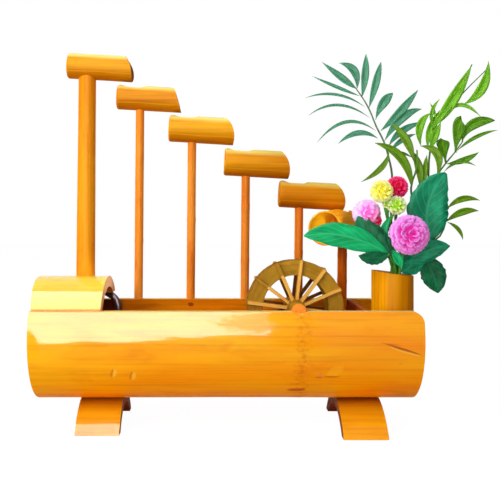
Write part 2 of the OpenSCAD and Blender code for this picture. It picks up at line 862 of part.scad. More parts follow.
module low_shape() {
    ribbed(low_at, low_mid, low_rib, low_y, thin_stem_r);
    leaves(low_rib, low_y, [[0.97, 12, 30, 5.6, 4, 1], [0.5, 10, 32, 6.4, 4, 1], [0.2, -37, 24, 3.6, 4, 1]]);
}

// broad leaves in two layers, forked in the cup's mouth
module broad_shape() {
    left = [139.5, 155];
    right = [143, 151];
    top = [173, 169];
    bars(concat(upright(broad_at), [fork, [left[0], front_y, left[1]]]), stem_r);
    bars([fork, [right[0], broad_y, right[1]], [158, broad_y, 150], [top[0], broad_y, top[1]]], fine_stem_r);
    for (l = [[168, 74, 18.5, -5], [128, 40, 16, 0], [109, 27, 7, 1], [185, 26, 9.5, 1]])
        blade(left, l[0], l[1], l[2], l[3], front_y, 0.75);
    blade(top - [1, 1], 75, 57, 29, 8, broad_y, 0.75);
    for (l = [[9, 51, 17, 3], [-32, 26, 12.5, 1]]) blade(right, l[0], l[1], l[2], l[3], broad_y, 0.7);
    blade([164, 156], -62, 38, 17, 7, broad_y, 0.7);
}

ball_c = [155, -ball_front, 171];
pale_c = [121, -34, 189];
yellow_c = [133, -38, 207.5];
green_c = [145.5, -37, 196];
green_r = 6.4;
crimson_c = [147.5, -24, 212];

module stem_to(at, mid, top) {
    bars(concat(upright(at), [mid, top]), stem_r);
}

module ball_shape() {
    stem_to(ball_at, ball_mid, ball_c);
    translate(ball_c) sphere(r = ball_r);
}

module pale_shape() {
    stem_to(pale_at, pale_mid, pale_c);
    translate(pale_c) sphere(r = bloom_a);
}

module yellow_shape() {
    stem_to(yellow_at, yellow_mid, yellow_c);
    bars([yellow_mid, [139, -31, 172], green_c], thin_stem_r);
    translate(yellow_c) sphere(r = bloom_b);
    translate(green_c) sphere(r = green_r);
}

module crimson_shape() {
    stem_to(crimson_at, crimson_mid, crimson_c);
    translate(crimson_c) sphere(r = bloom_c);
}

module stem_hole(p, r) {
    translate([p[0], p[1], stem_foot]) cylinder(r = r, h = foam_h + 10, $fn = 24);
}

// the block that the stems are pushed into
module foam() {
    color("#3d5a35") bouquet() difference() {
        translate([draw_at[0], draw_at[1], draw_at[2] + vase_floor]) cylinder(r = foam_r, h = foam_h);
        for (p = [palm_at, olive_at]) stem_hole(p, fine_stem_r);
        for (p = [lime_at, fan_at, low_at]) stem_hole(p, thin_stem_r);
        for (p = [broad_at, ball_at, pale_at, yellow_at, crimson_at]) stem_hole(p, stem_r);
    }
}

module palm_sprig() { color("#3f8f6a") bouquet() palm_shape(); }
module lime_sprig() { color("#6fb820") bouquet() lime_shape(); }
module olive_sprig() { color("#5c8a1e") bouquet() olive_shape(); }
module fan_sprig() { color("#4e8f22") bouquet() fan_shape(); }
module low_sprig() { color("#56891f") bouquet() low_shape(); }
module broad_sprig() { color("#0f7a50") bouquet() broad_shape(); }
module ball_flower() { color("#e45cc4") bouquet() ball_shape(); }
module pale_flower() { color("#e391d8") bouquet() pale_shape(); }
module yellow_flower() { color("#ece84a") bouquet() yellow_shape(); }
module crimson_flower() { color("#d31f5a") bouquet() crimson_shape(); }

trough();
left_bulkhead();
right_bulkhead();
left_foot();
right_foot();
left_foot_pegs();
right_foot_pegs();
riser_post();
post_2();
post_3();
post_4();
post_5();
post_6();
spout_1();
spout_2();
spout_3();
spout_4();
spout_5();
cup_spout();
cover();
hose();
pump_housing();
pump_volute();
pump_screen();
pump_rotor();
pump_pin();
pump_cups();
pump_gland();
axle();
front_hub();
back_hub();
front_ring();
back_ring();
front_spokes();
back_spokes();
paddles();
vase_seat();
vase_peg();
vase();
foam();
palm_sprig();
lime_sprig();
olive_sprig();
fan_sprig();
low_sprig();
broad_sprig();
ball_flower();
pale_flower();
yellow_flower();
crimson_flower();
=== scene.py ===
import random
from math import atan2, cos, degrees, hypot, pi, radians, sin, sqrt, tan

import bmesh
import bpy
from mathutils import Matrix, Vector, noise


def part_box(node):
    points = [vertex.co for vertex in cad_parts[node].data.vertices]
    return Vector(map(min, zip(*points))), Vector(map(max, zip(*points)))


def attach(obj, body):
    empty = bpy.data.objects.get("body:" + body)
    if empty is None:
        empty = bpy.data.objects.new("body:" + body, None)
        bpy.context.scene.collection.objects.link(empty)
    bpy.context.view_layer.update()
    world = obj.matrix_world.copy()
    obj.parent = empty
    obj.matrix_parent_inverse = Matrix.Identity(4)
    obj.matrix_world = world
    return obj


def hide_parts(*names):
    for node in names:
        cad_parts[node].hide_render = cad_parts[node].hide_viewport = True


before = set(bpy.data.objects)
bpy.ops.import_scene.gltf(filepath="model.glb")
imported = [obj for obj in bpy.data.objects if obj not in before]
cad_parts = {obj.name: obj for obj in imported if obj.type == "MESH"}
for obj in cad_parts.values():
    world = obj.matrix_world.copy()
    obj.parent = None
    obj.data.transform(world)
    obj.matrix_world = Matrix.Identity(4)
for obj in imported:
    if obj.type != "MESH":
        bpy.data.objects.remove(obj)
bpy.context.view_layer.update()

basinLow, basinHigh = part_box("trough")
basinMiddle = (basinLow + basinHigh) / 2
toFrame = Matrix.Translation((basinMiddle.x, basinMiddle.y, 0)) @ Matrix.Scale(0.001, 4)

# Sizes that several pieces share, in mm. landY is the back rim's middle, where the posts stand.
basin = dict(half=165.5, outer=57.5, inner=49.5, axisZ=81.9, rimZ=106.7, worn=9, ringX=64.6)
wheel = dict(x=62.2, z=104.6, tilt=radians(2), outer=42.6, inner=29.2, gap=28.5, ring=2.5,
             spokeW=3.6, spokeT=2.5, hub=8.6, axle=6.4, journal=3, axleHalf=49.6, shoulder=41.84, nose=2.2,
             first=radians(23), count=12)
postX = [-134.7, -83.5, -33.1, 19.1, 70.8, 113]
landY = 47.36

# The photograph in pixels, the pixel that the eye looks straight at, and the eye in mm and in the frame.
view = dict(pixels=500, focal=768.6, u=217.35, v=211.3, x=-7.3, y=-695.2, z=191,
            eye=(-0.0453, -0.6948, 0.191))


# Small helpers.

# A pixel of the photograph as a point in the upright plane at y.
def seen(u, v, y):
    away = (y - view["y"]) / view["focal"]
    return Vector(((u - view["u"]) * away + view["x"], y, view["z"] - (v - view["v"]) * away))


def clamp(value, low=0.0, high=1.0):
    return max(low, min(high, value))


def smooth(value, low, high):
    t = clamp((value - low) / (high - low))
    return t * t * (3 - 2 * t)


def run(start, end, count):
    return [start + (end - start) * i / count for i in range(count + 1)]


def wave(x, y, z):
    return noise.noise(Vector((x, y, z)))


def moved(x, y, z):
    return Matrix.Translation((x, y, z))


def spun(angle, axis):
    return Matrix.Rotation(angle, 4, axis)


def addObject(name, data):
    piece = bpy.data.objects.new(name, data)
    bpy.context.scene.collection.objects.link(piece)
    return piece


upright = spun(-pi / 2, "Y")  # stands up what was turned round X


# Shader node helpers.

def addNode(tree, kind, inputs=None, **settings):
    node = tree.nodes.new("ShaderNode" + kind)
    for key, value in settings.items():
        setattr(node, key, value)
    for key, value in (inputs or {}).items():
        socket = node.inputs[key]
        if isinstance(value, bpy.types.NodeSocket):
            tree.links.new(value, socket)
        else:
            socket.default_value = value
    return node


# A colour as it is seen, 0 to 255, as linear light.
def rgb(r, g, b):
    def linear(c):
        c /= 255
        return c / 12.92 if c <= 0.04045 else ((c + 0.055) / 1.055) ** 2.4
    return (linear(r), linear(g), linear(b), 1)


def ramp(tree, factor, *stops):
    node = addNode(tree, "ValToRGB", {0: factor})
    elements = node.color_ramp.elements
    while len(elements) < len(stops):
        elements.new(0.5)
    for element, (place, grey) in zip(elements, stops):
        element.position = place
        element.color = (grey, grey, grey, 1)
    return node.outputs["Color"]


def mixed(tree, factor, a, b, mode="MIX"):
    return addNode(tree, "Mix", {0: factor, 6: a, 7: b}, data_type="RGBA", blend_type=mode).outputs[2]


def math(tree, operation, a, b=0.0, c=0.0):
    return addNode(tree, "Math", {0: a, 1: b, 2: c}, operation=operation).outputs[0]


def times(tree, a, b):
    return math(tree, "MULTIPLY", a, b)


def scaled(tree, value, factor, plus):
    return math(tree, "MULTIPLY_ADD", value, factor, plus)


def vectorMath(tree, operation, a, b=(0, 0, 0), output="Vector"):
    return addNode(tree, "VectorMath", {0: a, 1: b}, operation=operation).outputs[output]


# Lays a tone over the colour where the mask is, by a share.
def laid(tree, mask, share, colour, tone, mode="MIX"):
    return mixed(tree, times(tree, mask, share), colour, tone, mode)


def axes(tree, vector):
    return addNode(tree, "SeparateXYZ", {0: vector}).outputs


def placeOn(tree):
    return axes(tree, addNode(tree, "TexCoord").outputs["Object"])


# Goes from start to end while the value goes from low to high.
def between(tree, value, low, high, start=0.0, end=1.0):
    return addNode(tree, "MapRange", {0: value, 1: low, 2: high, 3: start, 4: end}).outputs[0]


# Noise with its own scale along the vector's X and across it.
def grain(tree, vector, along, across, detail=2.0, rough=0.5, warp=0.0):
    drawn = vectorMath(tree, "MULTIPLY", vector, (along, across, across))
    return addNode(tree, "TexNoise", {"Vector": drawn, "Scale": 1.0, "Detail": detail, "Roughness": rough,
                                      "Distortion": warp}).outputs[0]


# Shared effects. Each gives a colour, a roughness and a height.

# Starts a node group. Inputs without a value are colours.
def startGroup(name, **inputs):
    tree = bpy.data.node_groups.new(name, "ShaderNodeTree")
    tree.interface.new_socket("Vector", in_out="INPUT", socket_type="NodeSocketVector")
    for label, value in inputs.items():
        kind = "Color" if value is None else "Float"
        socket = tree.interface.new_socket(label, in_out="INPUT", socket_type="NodeSocket" + kind)
        if value is not None:
            socket.default_value = value
    for label, kind in (("Color", "Color"), ("Roughness", "Float"), ("Height", "Float")):
        tree.interface.new_socket(label, in_out="OUTPUT", socket_type="NodeSocket" + kind)
    return tree, tree.nodes.new("NodeGroupInput").outputs


def endGroup(tree, colour, roughness, height):
    result = tree.nodes.new("NodeGroupOutput").inputs
    tree.links.new(colour, result["Color"])
    tree.links.new(roughness, result["Roughness"])
    tree.links.new(height, result["Height"])
    return tree


# Lacquered culm skin: its fibres run along the vector's X.
def makeSkinGroup():
    tree, given = startGroup("bambooSkin", Pale=None, Amber=None, Rust=None, Streaks=0.3, Mottle=0.3)
    vector = given["Vector"]
    patch = ramp(tree, grain(tree, vector, 7, 42, 3), (0.36, 0.0), (0.64, 1.0))
    stain = ramp(tree, grain(tree, vector, 16, 60, 5, 0.6, 0.4), (0.54, 0.0), (0.74, 1.0))
    streak = grain(tree, vector, 9, 420, 3, 0.6)
    thread = grain(tree, vector, 35, 2100)
    dark = ramp(tree, streak, (0.3, 1.0), (0.52, 0.0))
    light = ramp(tree, streak, (0.6, 0.0), (0.72, 0.5))
    colour = mixed(tree, patch, given["Amber"], given["Pale"])
    colour = laid(tree, stain, given["Mottle"], colour, given["Rust"])
    colour = laid(tree, dark, given["Streaks"], colour, (0.62, 0.4, 0.2, 1), "MULTIPLY")
    colour = laid(tree, light, given["Streaks"], colour, given["Pale"])
    height = math(tree, "ADD", times(tree, streak, 0.7), times(tree, thread, 0.3))
    return endGroup(tree, colour, scaled(tree, stain, 0.12, 0.5), height)


# Sawn culm: dots of fibre bundles in paler pith, denser at random.
def makeCutGroup():
    tree, given = startGroup("cutCulm", Pith=None, Dots=None, Scale=900.0)
    cells = addNode(tree, "TexVoronoi", {"Vector": given["Vector"], "Scale": given["Scale"]})
    dots = ramp(tree, cells.outputs["Distance"], (0.22, 1.0), (0.42, 0.0))
    patch = grain(tree, given["Vector"], 120, 120, 3)
    colour = laid(tree, patch, 0.5, given["Pith"], given["Dots"])
    colour = laid(tree, dots, 0.7, colour, given["Dots"])
    return endGroup(tree, colour, scaled(tree, patch, 0.25, 0.45), dots)


# Split bamboo and plain wood with its grain along the vector's X.
def makeWoodGroup():
    tree, given = startGroup("woodGrain", Light=None, Dark=None, Speckle=0.4)
    vector = given["Vector"]
    lines = grain(tree, vector, 25, 900, 3, 0.6)
    patch = grain(tree, vector, 60, 160, 3, 0.6)
    speck = ramp(tree, grain(tree, vector, 900, 1500), (0.6, 0.0), (0.72, 1.0))
    both = math(tree, "ADD", times(tree, lines, 0.55), times(tree, patch, 0.5))
    colour = mixed(tree, ramp(tree, both, (0.4, 0.0), (0.66, 1.0)), given["Dark"], given["Light"])
    colour = laid(tree, speck, given["Speckle"], colour, given["Dark"])
    return endGroup(tree, colour, scaled(tree, lines, 0.3, 0.42), lines)


# Printed cloth leaf: U runs across from the left edge, V from base to tip.
def makeLeafGroup():
    tree, given = startGroup("leafSurface", Blade=None, Shade=None, Vein=None, Veins=14.0, Spread=0.5)
    place = axes(tree, given["Vector"])
    side = math(tree, "ABSOLUTE", math(tree, "SUBTRACT", place[0], 0.5))
    rib = ramp(tree, side, (0.0, 1.0), (0.055, 0.0))
    slant = math(tree, "SUBTRACT", place[1], times(tree, side, given["Spread"]))
    stripes = math(tree, "SINE", times(tree, times(tree, slant, given["Veins"]), 2 * pi))
    line = math(tree, "MAXIMUM", rib, ramp(tree, stripes, (0.72, 0.0), (0.98, 0.55)))
    cloud = grain(tree, given["Vector"], 3, 3, 3)
    colour = mixed(tree, ramp(tree, cloud, (0.35, 0.0), (0.65, 1.0)), given["Shade"], given["Blade"])
    colour = laid(tree, line, 0.55, colour, given["Vein"])
    return endGroup(tree, colour, scaled(tree, cloud, 0.2, 0.38), line)


# Cloth petal: V runs from the heart to the tip.
def makePetalGroup():
    tree, given = startGroup("petalSurface", Heart=None, Middle=None, Tip=None)
    place = axes(tree, given["Vector"])
    folds = math(tree, "SINE", times(tree, place[0], 38.0))
    along = math(tree, "ADD", place[1], times(tree, folds, 0.05))
    colour = mixed(tree, ramp(tree, along, (0.1, 0.0), (0.5, 1.0)), given["Heart"], given["Middle"])
    colour = mixed(tree, ramp(tree, along, (0.5, 0.0), (0.98, 1.0)), colour, given["Tip"])
    return endGroup(tree, colour, scaled(tree, folds, 0.06, 0.62), folds)


groups = dict(skin=makeSkinGroup(), cut=makeCutGroup(), wood=makeWoodGroup(), leaf=makeLeafGroup(),
              petal=makePetalGroup())


# Materials.

def startMaterial(name):
    material = bpy.data.materials.new(name)
    material.use_nodes = True
    return material, material.node_tree, material.node_tree.nodes["Principled BSDF"]


# Links colour, roughness and bumps to a material's shader.
def linkShader(tree, shader, colour, roughness, height, strength, depth):
    bumped = addNode(tree, "Bump", {"Height": height, "Strength": strength, "Distance": depth})
    tree.links.new(colour, shader.inputs["Base Color"])
    tree.links.new(roughness, shader.inputs["Roughness"])
    tree.links.new(bumped.outputs[0], shader.inputs["Normal"])


# A material from one of the groups, whose values stand in the order of the group's inputs.
def surface(name, group, values, turn=None, source="Object", bump=0.3, tint=None, **sockets):
    material, tree, shader = startMaterial(name)
    vector = addNode(tree, "TexCoord").outputs[source]
    if turn:
        angles = [radians(a) for a in turn]
        vector = addNode(tree, "Mapping", {"Vector": vector, "Rotation": angles}).outputs[0]
    effect = addNode(tree, "Group", node_tree=groups[group])
    tree.links.new(vector, effect.inputs["Vector"])
    for socket, value in zip(effect.inputs[1:], values):
        socket.default_value = rgb(*value) if isinstance(value, tuple) else value
    colour = effect.outputs["Color"]
    if tint:
        colour = tint(tree, vector, colour)
    linkShader(tree, shader, colour, effect.outputs["Roughness"], effect.outputs["Height"], bump, 0.0003)
    for key, value in sockets.items():
        shader.inputs[key.replace("_", " ")].default_value = value
    return material


# A mask that is 1 near a drawn point on a piece, and falls to 0 at the given half sizes.
def spotMask(tree, vector, point, half, ragged, tilt=0.0):
    middle = [basinMiddle.x + point[0] / 1000, basinMiddle.y + point[1] / 1000, point[2] / 1000]
    if tilt:
        vector = addNode(tree, "VectorRotate", {"Vector": vector, "Center": middle, "Axis": (0, 1, 0),
                                                "Angle": radians(tilt)}).outputs[0]
    away = vectorMath(tree, "SUBTRACT", vector, middle)
    sized = vectorMath(tree, "MULTIPLY", away, [1000 / h for h in half])
    reach = vectorMath(tree, "LENGTH", sized, output="Value")
    torn = times(tree, math(tree, "SUBTRACT", grain(tree, vector, 120, 500, 3), 0.5), ragged)
    return ramp(tree, math(tree, "ADD", reach, torn), (0.75, 1.0), (1.0, 0.0))


# Split, worn patches and knots of the basin, and a painted shade and painted highlight beside each of two
# dents: middle and half sizes in mm, tone, share and tilt.
basinSpots = [
    ((149, -57, 74.4), (15, 16, 1.6), (254, 190, 60), 0.5, -17),
    ((147, -57, 76.4), (18, 16, 1.05), (166, 72, 4), 0.9, -17),
    ((137, -57, 80.6), (11, 16, 0.45), (190, 96, 4), 0.7, -6),
    ((91.4, -50, 57), (8.2, 18, 4.6), (252, 170, 22), 0.6, 32),
    ((89, -50, 51.8), (8, 18, 0.8), (196, 98, 4), 0.8, 0),
    ((78.8, -49, 54), (2.6, 16, 2.3), (236, 132, 62), 0.6, 0),
    ((78, -49, 51.2), (4, 16, 0.8), (190, 92, 6), 0.7, 0),
    ((60.4, -37, 38.5), (8.8, 12, 2.0), (180, 62, 8), 0.75, 0),
    # Painted shade and painted highlight: a dark and a pale crescent beside each of the two dents at the
    # left.
    ((-95.6, -50, 55.4), (1.2, 16, 4.6), (206, 116, 8), 0.7, -16),
    ((-93.6, -50, 55), (1.6, 16, 4.4), (255, 200, 70), 0.6, -16),
    ((-79.8, -49, 53), (1.2, 16, 4.2), (206, 112, 8), 0.7, -16),
    ((-77.6, -49, 52.4), (2.0, 16, 4.4), (255, 196, 66), 0.6, -16)]

# Where the basin's lacquer is rubbed off: middle and half sizes in mm, raggedness and share.
rubbedSpots = [
    ((26, -50, 98), (34, 22, 9), 2.2, 0.7),
    ((-167, -50, 79), (13, 40, 15), 0.5, 1.0),
    ((54, -50, 101), (24, 30, 6), 1.3, 1.0),
    ((61, -50, 94), (23, 30, 5), 1.3, 1.0),
    ((52, -50, 88), (21, 30, 5), 1.3, 1.0),
    ((60, -50, 82), (30, 30, 6), 1.3, 1.0)]


# What only the basin's front has: the node's darker ring, a split, worn spots and rusty specks, painted
# shade that darkens it towards the right and towards its lower part, and a painted shade and highlight
# beside two dents.
def basinTint(tree, vector, colour):
    place = axes(tree, vector)
    shift = times(tree, math(tree, "SUBTRACT", grain(tree, vector, 60, 200, 3), 0.5), 0.02)
    ringX = basin["ringX"] / 1000 + basinMiddle.x
    along = math(tree, "ADD", math(tree, "SUBTRACT", place[0], ringX), shift)
    near = ramp(tree, times(tree, math(tree, "ABSOLUTE", along), 120.0), (0.1, 1.0), (0.95, 0.0))
    ticks = ramp(tree, grain(tree, vector, 260, 420, 3), (0.46, 0.12), (0.62, 1.0))
    colour = laid(tree, times(tree, near, ticks), 0.5, colour, rgb(206, 92, 2))
    specks = ramp(tree, grain(tree, vector, 45, 240, 4, 0.7, 1.0), (0.66, 0.0), (0.76, 1.0))
    colour = laid(tree, specks, 0.35, colour, rgb(178, 88, 6))
    # Painted shade: darker towards the right and towards the bottom, where less light falls.
    right = between(tree, place[0], basinMiddle.x - 0.03, basinMiddle.x + 0.09)
    basinShade = math(tree, "MAXIMUM", times(tree, right, 0.85), between(tree, place[2], 0.068, 0.038))
    colour = mixed(tree, basinShade, colour, (0.93, 0.72, 0.4, 1), "MULTIPLY")
    for point, half, tone, share, tilt in basinSpots:
        colour = laid(tree, spotMask(tree, vector, point, half, 0.7, tilt), share, colour, rgb(*tone))
    return colour


# The basin's lacquer is thin underneath and rubbed off in blotches beside the wheel.
def wearLacquer(material):
    tree = material.node_tree
    vector = addNode(tree, "TexCoord").outputs["Object"]
    share = between(tree, axes(tree, vector)[2], 0.05, 0.078, 0.04, 0.6)
    gone = 0.0
    for point, half, ragged, part in rubbedSpots:
        gone = math(tree, "MAXIMUM", gone, times(tree, spotMask(tree, vector, point, half, ragged), part))
    kept = math(tree, "SUBTRACT", 1.0, gone)
    tree.links.new(times(tree, share, kept), tree.nodes["Principled BSDF"].inputs["Coat Weight"])


# A reddish knot on the inner wall, and a painted dark shadow by the hose, where the cover shades the wall.
def insideTint(tree, vector, colour):
    knot = spotMask(tree, vector, (-33, 46, 101.5), (3.2, 14, 2.2), 1.2)
    # Painted shadow under the cover.
    hoseShadow = spotMask(tree, vector, (-110, 46, 99), (12, 18, 18), 0.4)
    colour = laid(tree, hoseShadow, 0.92, colour, rgb(58, 12, 18))
    return laid(tree, knot, 0.75, colour, rgb(150, 20, 16))


# Painted shade: the feet darken up towards the saddle, in the basin's shadow.
def footShadeTint(tree, vector, colour):
    high = ramp(tree, times(tree, axes(tree, vector)[2], 36.0), (0.5, 0.0), (0.8, 0.55), (0.92, 1.0))
    return laid(tree, high, 0.85, colour, rgb(120, 52, 4))


# Painted shade: darker towards the right, between two distances in mm from the basin's middle, where less
# light falls.
def shadeTowardsRight(start, end, tone):
    def tint(tree, vector, colour):
        share = between(tree, placeOn(tree)[0], basinMiddle.x + start / 1000, basinMiddle.x + end / 1000)
        return mixed(tree, share, colour, tone, "MULTIPLY")
    return tint


# Painted light on a spout: a painted highlight on top, painted shade below, one pale painted reflection
# line, and painted shade towards the right.
def spoutLightTint(tree, vector, colour):
    up = axes(tree, addNode(tree, "NewGeometry").outputs["Normal"])[2]
    down = times(tree, up, -1.0)
    underShade = ramp(tree, down, (0.0, 0.0), (0.8, 1.0))
    line = ramp(tree, down, (0.44, 0.0), (0.49, 1.0), (0.55, 0.0))
    topHighlight = ramp(tree, up, (0.5, 0.0), (0.8, 1.0))
    # Painted shade below, a painted reflection line and a painted highlight on top.
    colour = laid(tree, underShade, 0.7, colour, rgb(176, 84, 2))
    colour = laid(tree, line, 0.4, colour, rgb(250, 190, 60))
    colour = laid(tree, topHighlight, 0.85, colour, rgb(255, 240, 130))
    return shadeTowardsRight(0.0, 60.0, (0.8, 0.66, 0.5, 1))(tree, vector, colour)


# Painted shade on the flower cup: a lighter left part, a darker step and a browner right part, as light
# falls from the left.
def vaseShadeTint(tree, vector, colour):
    colour = shadeTowardsRight(137.5, 140.5, (0.78, 0.74, 0.5, 1))(tree, vector, colour)
    return shadeTowardsRight(152, 160, (0.82, 0.8, 0.8, 1))(tree, vector, colour)


# Tan patches on the wheel's rings, where the sticks were glued.
def ringTint(tree, vector, colour):
    blotch = ramp(tree, grain(tree, vector, 130, 130, 4, 0.65), (0.57, 0.0), (0.74, 0.6))
    return mixed(tree, blotch, colour, rgb(208, 146, 56))


# Petals change to another tone towards the lower right of the flower at x and z.
def petalTint(x, z, reach, tone, share):
    def tint(tree, vector, colour):
        place = placeOn(tree)
        middle = basinMiddle.x + (x - z) / 1000
        slant = math(tree, "SUBTRACT", place[0], place[2])
        across = between(tree, slant, middle - reach / 1000, middle + reach / 1000)
        return laid(tree, across, share, colour, rgb(*tone))
    return tint


lacquer = dict(bump=0.25, Specular_IOR_Level=0.015, Coat_Weight=0.6, Coat_IOR=1.3, Coat_Roughness=0.08)
thickLacquer = dict(lacquer, bump=0.2, Coat_Weight=0.9)
thinLacquer = dict(lacquer, Coat_Weight=0.42)
satin = dict(bump=0.25, Specular_IOR_Level=0.006, Coat_Weight=0.03, Coat_IOR=1.3, Coat_Roughness=0.22)
matt = dict(Specular_IOR_Level=0.012)
hollow = dict(matt, bump=0.5)
coarse = dict(matt, bump=0.4)
split = dict(coarse, source="UV")
leafCloth = dict(source="UV", bump=0.35, Specular_IOR_Level=0.025)
petalCloth = dict(source="UV", bump=0.25, Specular_IOR_Level=0.02)
alongY, alongZ, alongCup = (0, 0, 90), (0, 90, 0), (0, 0, 120.4)
stem = dict(turn=alongZ, Specular_IOR_Level=0.02)

# Skins: pale, amber and rusty tone, streaks, mottling, and how the surface is finished.
skins = dict(
    basinSkin=[(255, 186, 10), (253, 161, 1), (222, 112, 0), 0.34, 0.45, dict(lacquer, tint=basinTint)],
    basinInside=[(253, 164, 8), (244, 134, 2), (180, 76, 2), 0.4, 0.5, dict(hollow, tint=insideTint)],
    coverSkin=[(253, 226, 80), (250, 206, 50), (232, 160, 20), 0.22, 0.3, thickLacquer],
    coverInside=[(214, 150, 70), (186, 112, 40), (130, 66, 20), 0.5, 0.5, hollow],
    footSkin=[(250, 170, 6), (240, 152, 1), (206, 108, 2), 0.35, 0.4, dict(thinLacquer, tint=footShadeTint)],
    # Painted shade: the feet's insides are coloured dark, as if in shadow.
    footShadeInside=[(172, 70, 12), (140, 50, 6), (90, 32, 4), 0.5, 0.5, hollow],
    spoutSkin=[(244, 172, 4), (230, 146, 1), (200, 104, 0), 0.5, 0.4, dict(satin, tint=spoutLightTint)],
    cupSkin=[(253, 178, 30), (246, 158, 14), (222, 116, 4), 0.35, 0.3, dict(satin, turn=alongCup)],
    # The cup's inside is its own pale inner wall, made paler still as painted light inside the mouth.
    cupInside=[(255, 214, 50), (255, 204, 30), (252, 176, 10), 0.2, 0.2, dict(matt, turn=alongCup)],
    riserSkin=[(248, 164, 30), (238, 140, 14), (216, 110, 8), 0.45, 0.5, dict(satin, turn=alongZ)],
    # The posts get painted shade towards the right.
    postSkin=[(255, 168, 62), (246, 142, 36), (210, 84, 8), 0.45, 0.7,
              dict(satin, turn=alongZ, tint=shadeTowardsRight(-50, 80, (0.84, 0.66, 0.45, 1)))],
    lastPostSkin=[(222, 112, 18), (200, 90, 8), (156, 60, 2), 0.45, 0.6, dict(satin, turn=alongZ)],
    vaseSkin=[(252, 172, 8), (232, 140, 4), (186, 100, 2), 0.7, 0.55,
              dict(satin, bump=0.3, turn=alongZ, tint=vaseShadeTint)],
    vaseInside=[(180, 100, 26), (140, 70, 16), (96, 44, 8), 0.5, 0.5, dict(coarse, turn=alongZ)])

# Sawn ends: pith, fibre dots and how fine they are.
cuts = dict(
    basinCut=[(252, 222, 128), (226, 172, 80), 700.0, matt],
    coverEnd=[(255, 214, 164), (254, 184, 120), 650.0, coarse],
    cupRim=[(250, 178, 44), (236, 140, 20), 700.0, matt],
    # Painted shade: dark, as in the spouts' bores and on their mouths' cut edges.
    spoutShadeCut=[(160, 88, 20), (90, 44, 8), 900.0, matt],
    footCut=[(150, 78, 26), (90, 44, 14), 800.0, matt],
    vaseRim=[(216, 146, 60), (140, 80, 26), 900.0, matt],
    floristFoam=[(70, 104, 62), (44, 72, 42), 1500.0, dict(bump=0.8, IOR=1.3)])

# Edges, wood and stems: light and dark tone, and speckle.
woods = dict(
    rimEdge=[(255, 234, 140), (252, 208, 96), 0.3, matt],
    cutEdge=[(196, 128, 44), (120, 66, 20), 0.5, matt],
    ringWood=[(186, 140, 32), (152, 108, 16), 0.5, dict(split, tint=ringTint)],
    spokeWood=[(252, 204, 96), (230, 162, 62), 0.2, split],
    # Painted shade: the back spokes are a darker copy of the spoke wood.
    backShadeWood=[(120, 74, 22), (78, 40, 8), 0.3, split],
    hubWood=[(190, 142, 34), (150, 106, 20), 0.4, coarse],
    axleSkin=[(253, 158, 54), (244, 126, 26), 0.3, dict(matt, turn=alongY)],
    endWood=[(178, 84, 10), (134, 56, 4), 0.5, dict(coarse, turn=alongY)],
    pegWood=[(214, 172, 112), (176, 130, 74), 0.4, dict(coarse, turn=alongZ)],
    palmStem=[(112, 150, 104), (76, 96, 60), 0.3, stem],
    greenStem=[(100, 150, 44), (60, 104, 24), 0.3, stem],
    brightStem=[(110, 180, 60), (50, 130, 50), 0.3, stem])

# Leaves: blade, shade, vein, how many veins and how they slant.
leaves = dict(
    palmLeaf=[(86, 162, 122), (52, 124, 90), (140, 190, 160), 2.0, 4.0, leafCloth],
    limeLeaf=[(126, 198, 28), (76, 150, 10), (190, 232, 90), 2.0, 4.0, leafCloth],
    oliveLeaf=[(108, 152, 18), (74, 118, 8), (150, 184, 60), 2.0, 4.0, leafCloth],
    fanLeaf=[(92, 154, 10), (60, 116, 4), (146, 196, 54), 2.0, 4.0, leafCloth],
    broadLeaf=[(28, 158, 110), (14, 116, 78), (70, 180, 134), 7.0, 0.7, leafCloth],
    darkLeaf=[(16, 108, 66), (8, 78, 44), (40, 130, 88), 7.0, 0.7, leafCloth],
    brightLeaf=[(14, 184, 108), (6, 150, 82), (70, 204, 144), 7.0, 0.7, leafCloth])

# Petals: tones of their heart, middle and tip.
petals = dict(
    ballPetal=[(246, 62, 190), (248, 112, 226), (250, 176, 252),
               dict(petalCloth, tint=petalTint(157, 169, 20, (246, 40, 166), 0.42))],
    palePetal=[(244, 110, 200), (250, 164, 240), (250, 206, 253),
               dict(petalCloth, tint=petalTint(126.5, 185.5, 11, (246, 20, 96), 0.85))],
    yellowPetal=[(253, 236, 60), (255, 253, 90), (255, 255, 176), petalCloth],
    greenPetal=[(150, 214, 30), (214, 240, 90), (246, 252, 214), petalCloth],
    crimsonPetal=[(226, 4, 60), (244, 18, 88), (252, 76, 140), petalCloth])

# Plastic, rubber and steel: tone, tone where it is worn, roughness and how much is metal.
plastics = dict(
    hoseRubber=[(52, 14, 16), (84, 40, 40), 0.4, 0.0],
    pumpShell=[(40, 42, 46), (70, 72, 78), 0.45, 0.0],
    pumpDark=[(28, 29, 32), (56, 58, 62), 0.5, 0.0],
    pumpSteel=[(176, 178, 182), (130, 132, 138), 0.3, 1.0],
    cupRubber=[(66, 66, 68), (96, 96, 98), 0.55, 0.0])


# Moulded plastic, rubber or steel with fine wear.
def plastic(name, tone, worn, roughness, metallic):
    material, tree, shader = startMaterial(name)
    vector = addNode(tree, "TexCoord").outputs["Object"]
    fine = grain(tree, vector, 500, 500, 3, 0.6)
    wear = ramp(tree, grain(tree, vector, 90, 90, 4, 0.6), (0.5, 0.0), (0.7, 1.0))
    colour = laid(tree, wear, 0.6, rgb(*tone), rgb(*worn))
    linkShader(tree, shader, colour, scaled(tree, fine, 0.2, roughness - 0.1), fine, 0.2, 0.0002)
    shader.inputs["Metallic"].default_value = metallic
    return material


materials = {name: plastic(name, *values) for name, values in plastics.items()}
for group, table in dict(skin=skins, cut=cuts, wood=woods, leaf=leaves, petal=petals).items():
    for name, (*values, options) in table.items():
        materials[name] = surface(name, group, values, **options)
wearLacquer(materials["basinSkin"])
print("materials made")


# Mesh helpers.

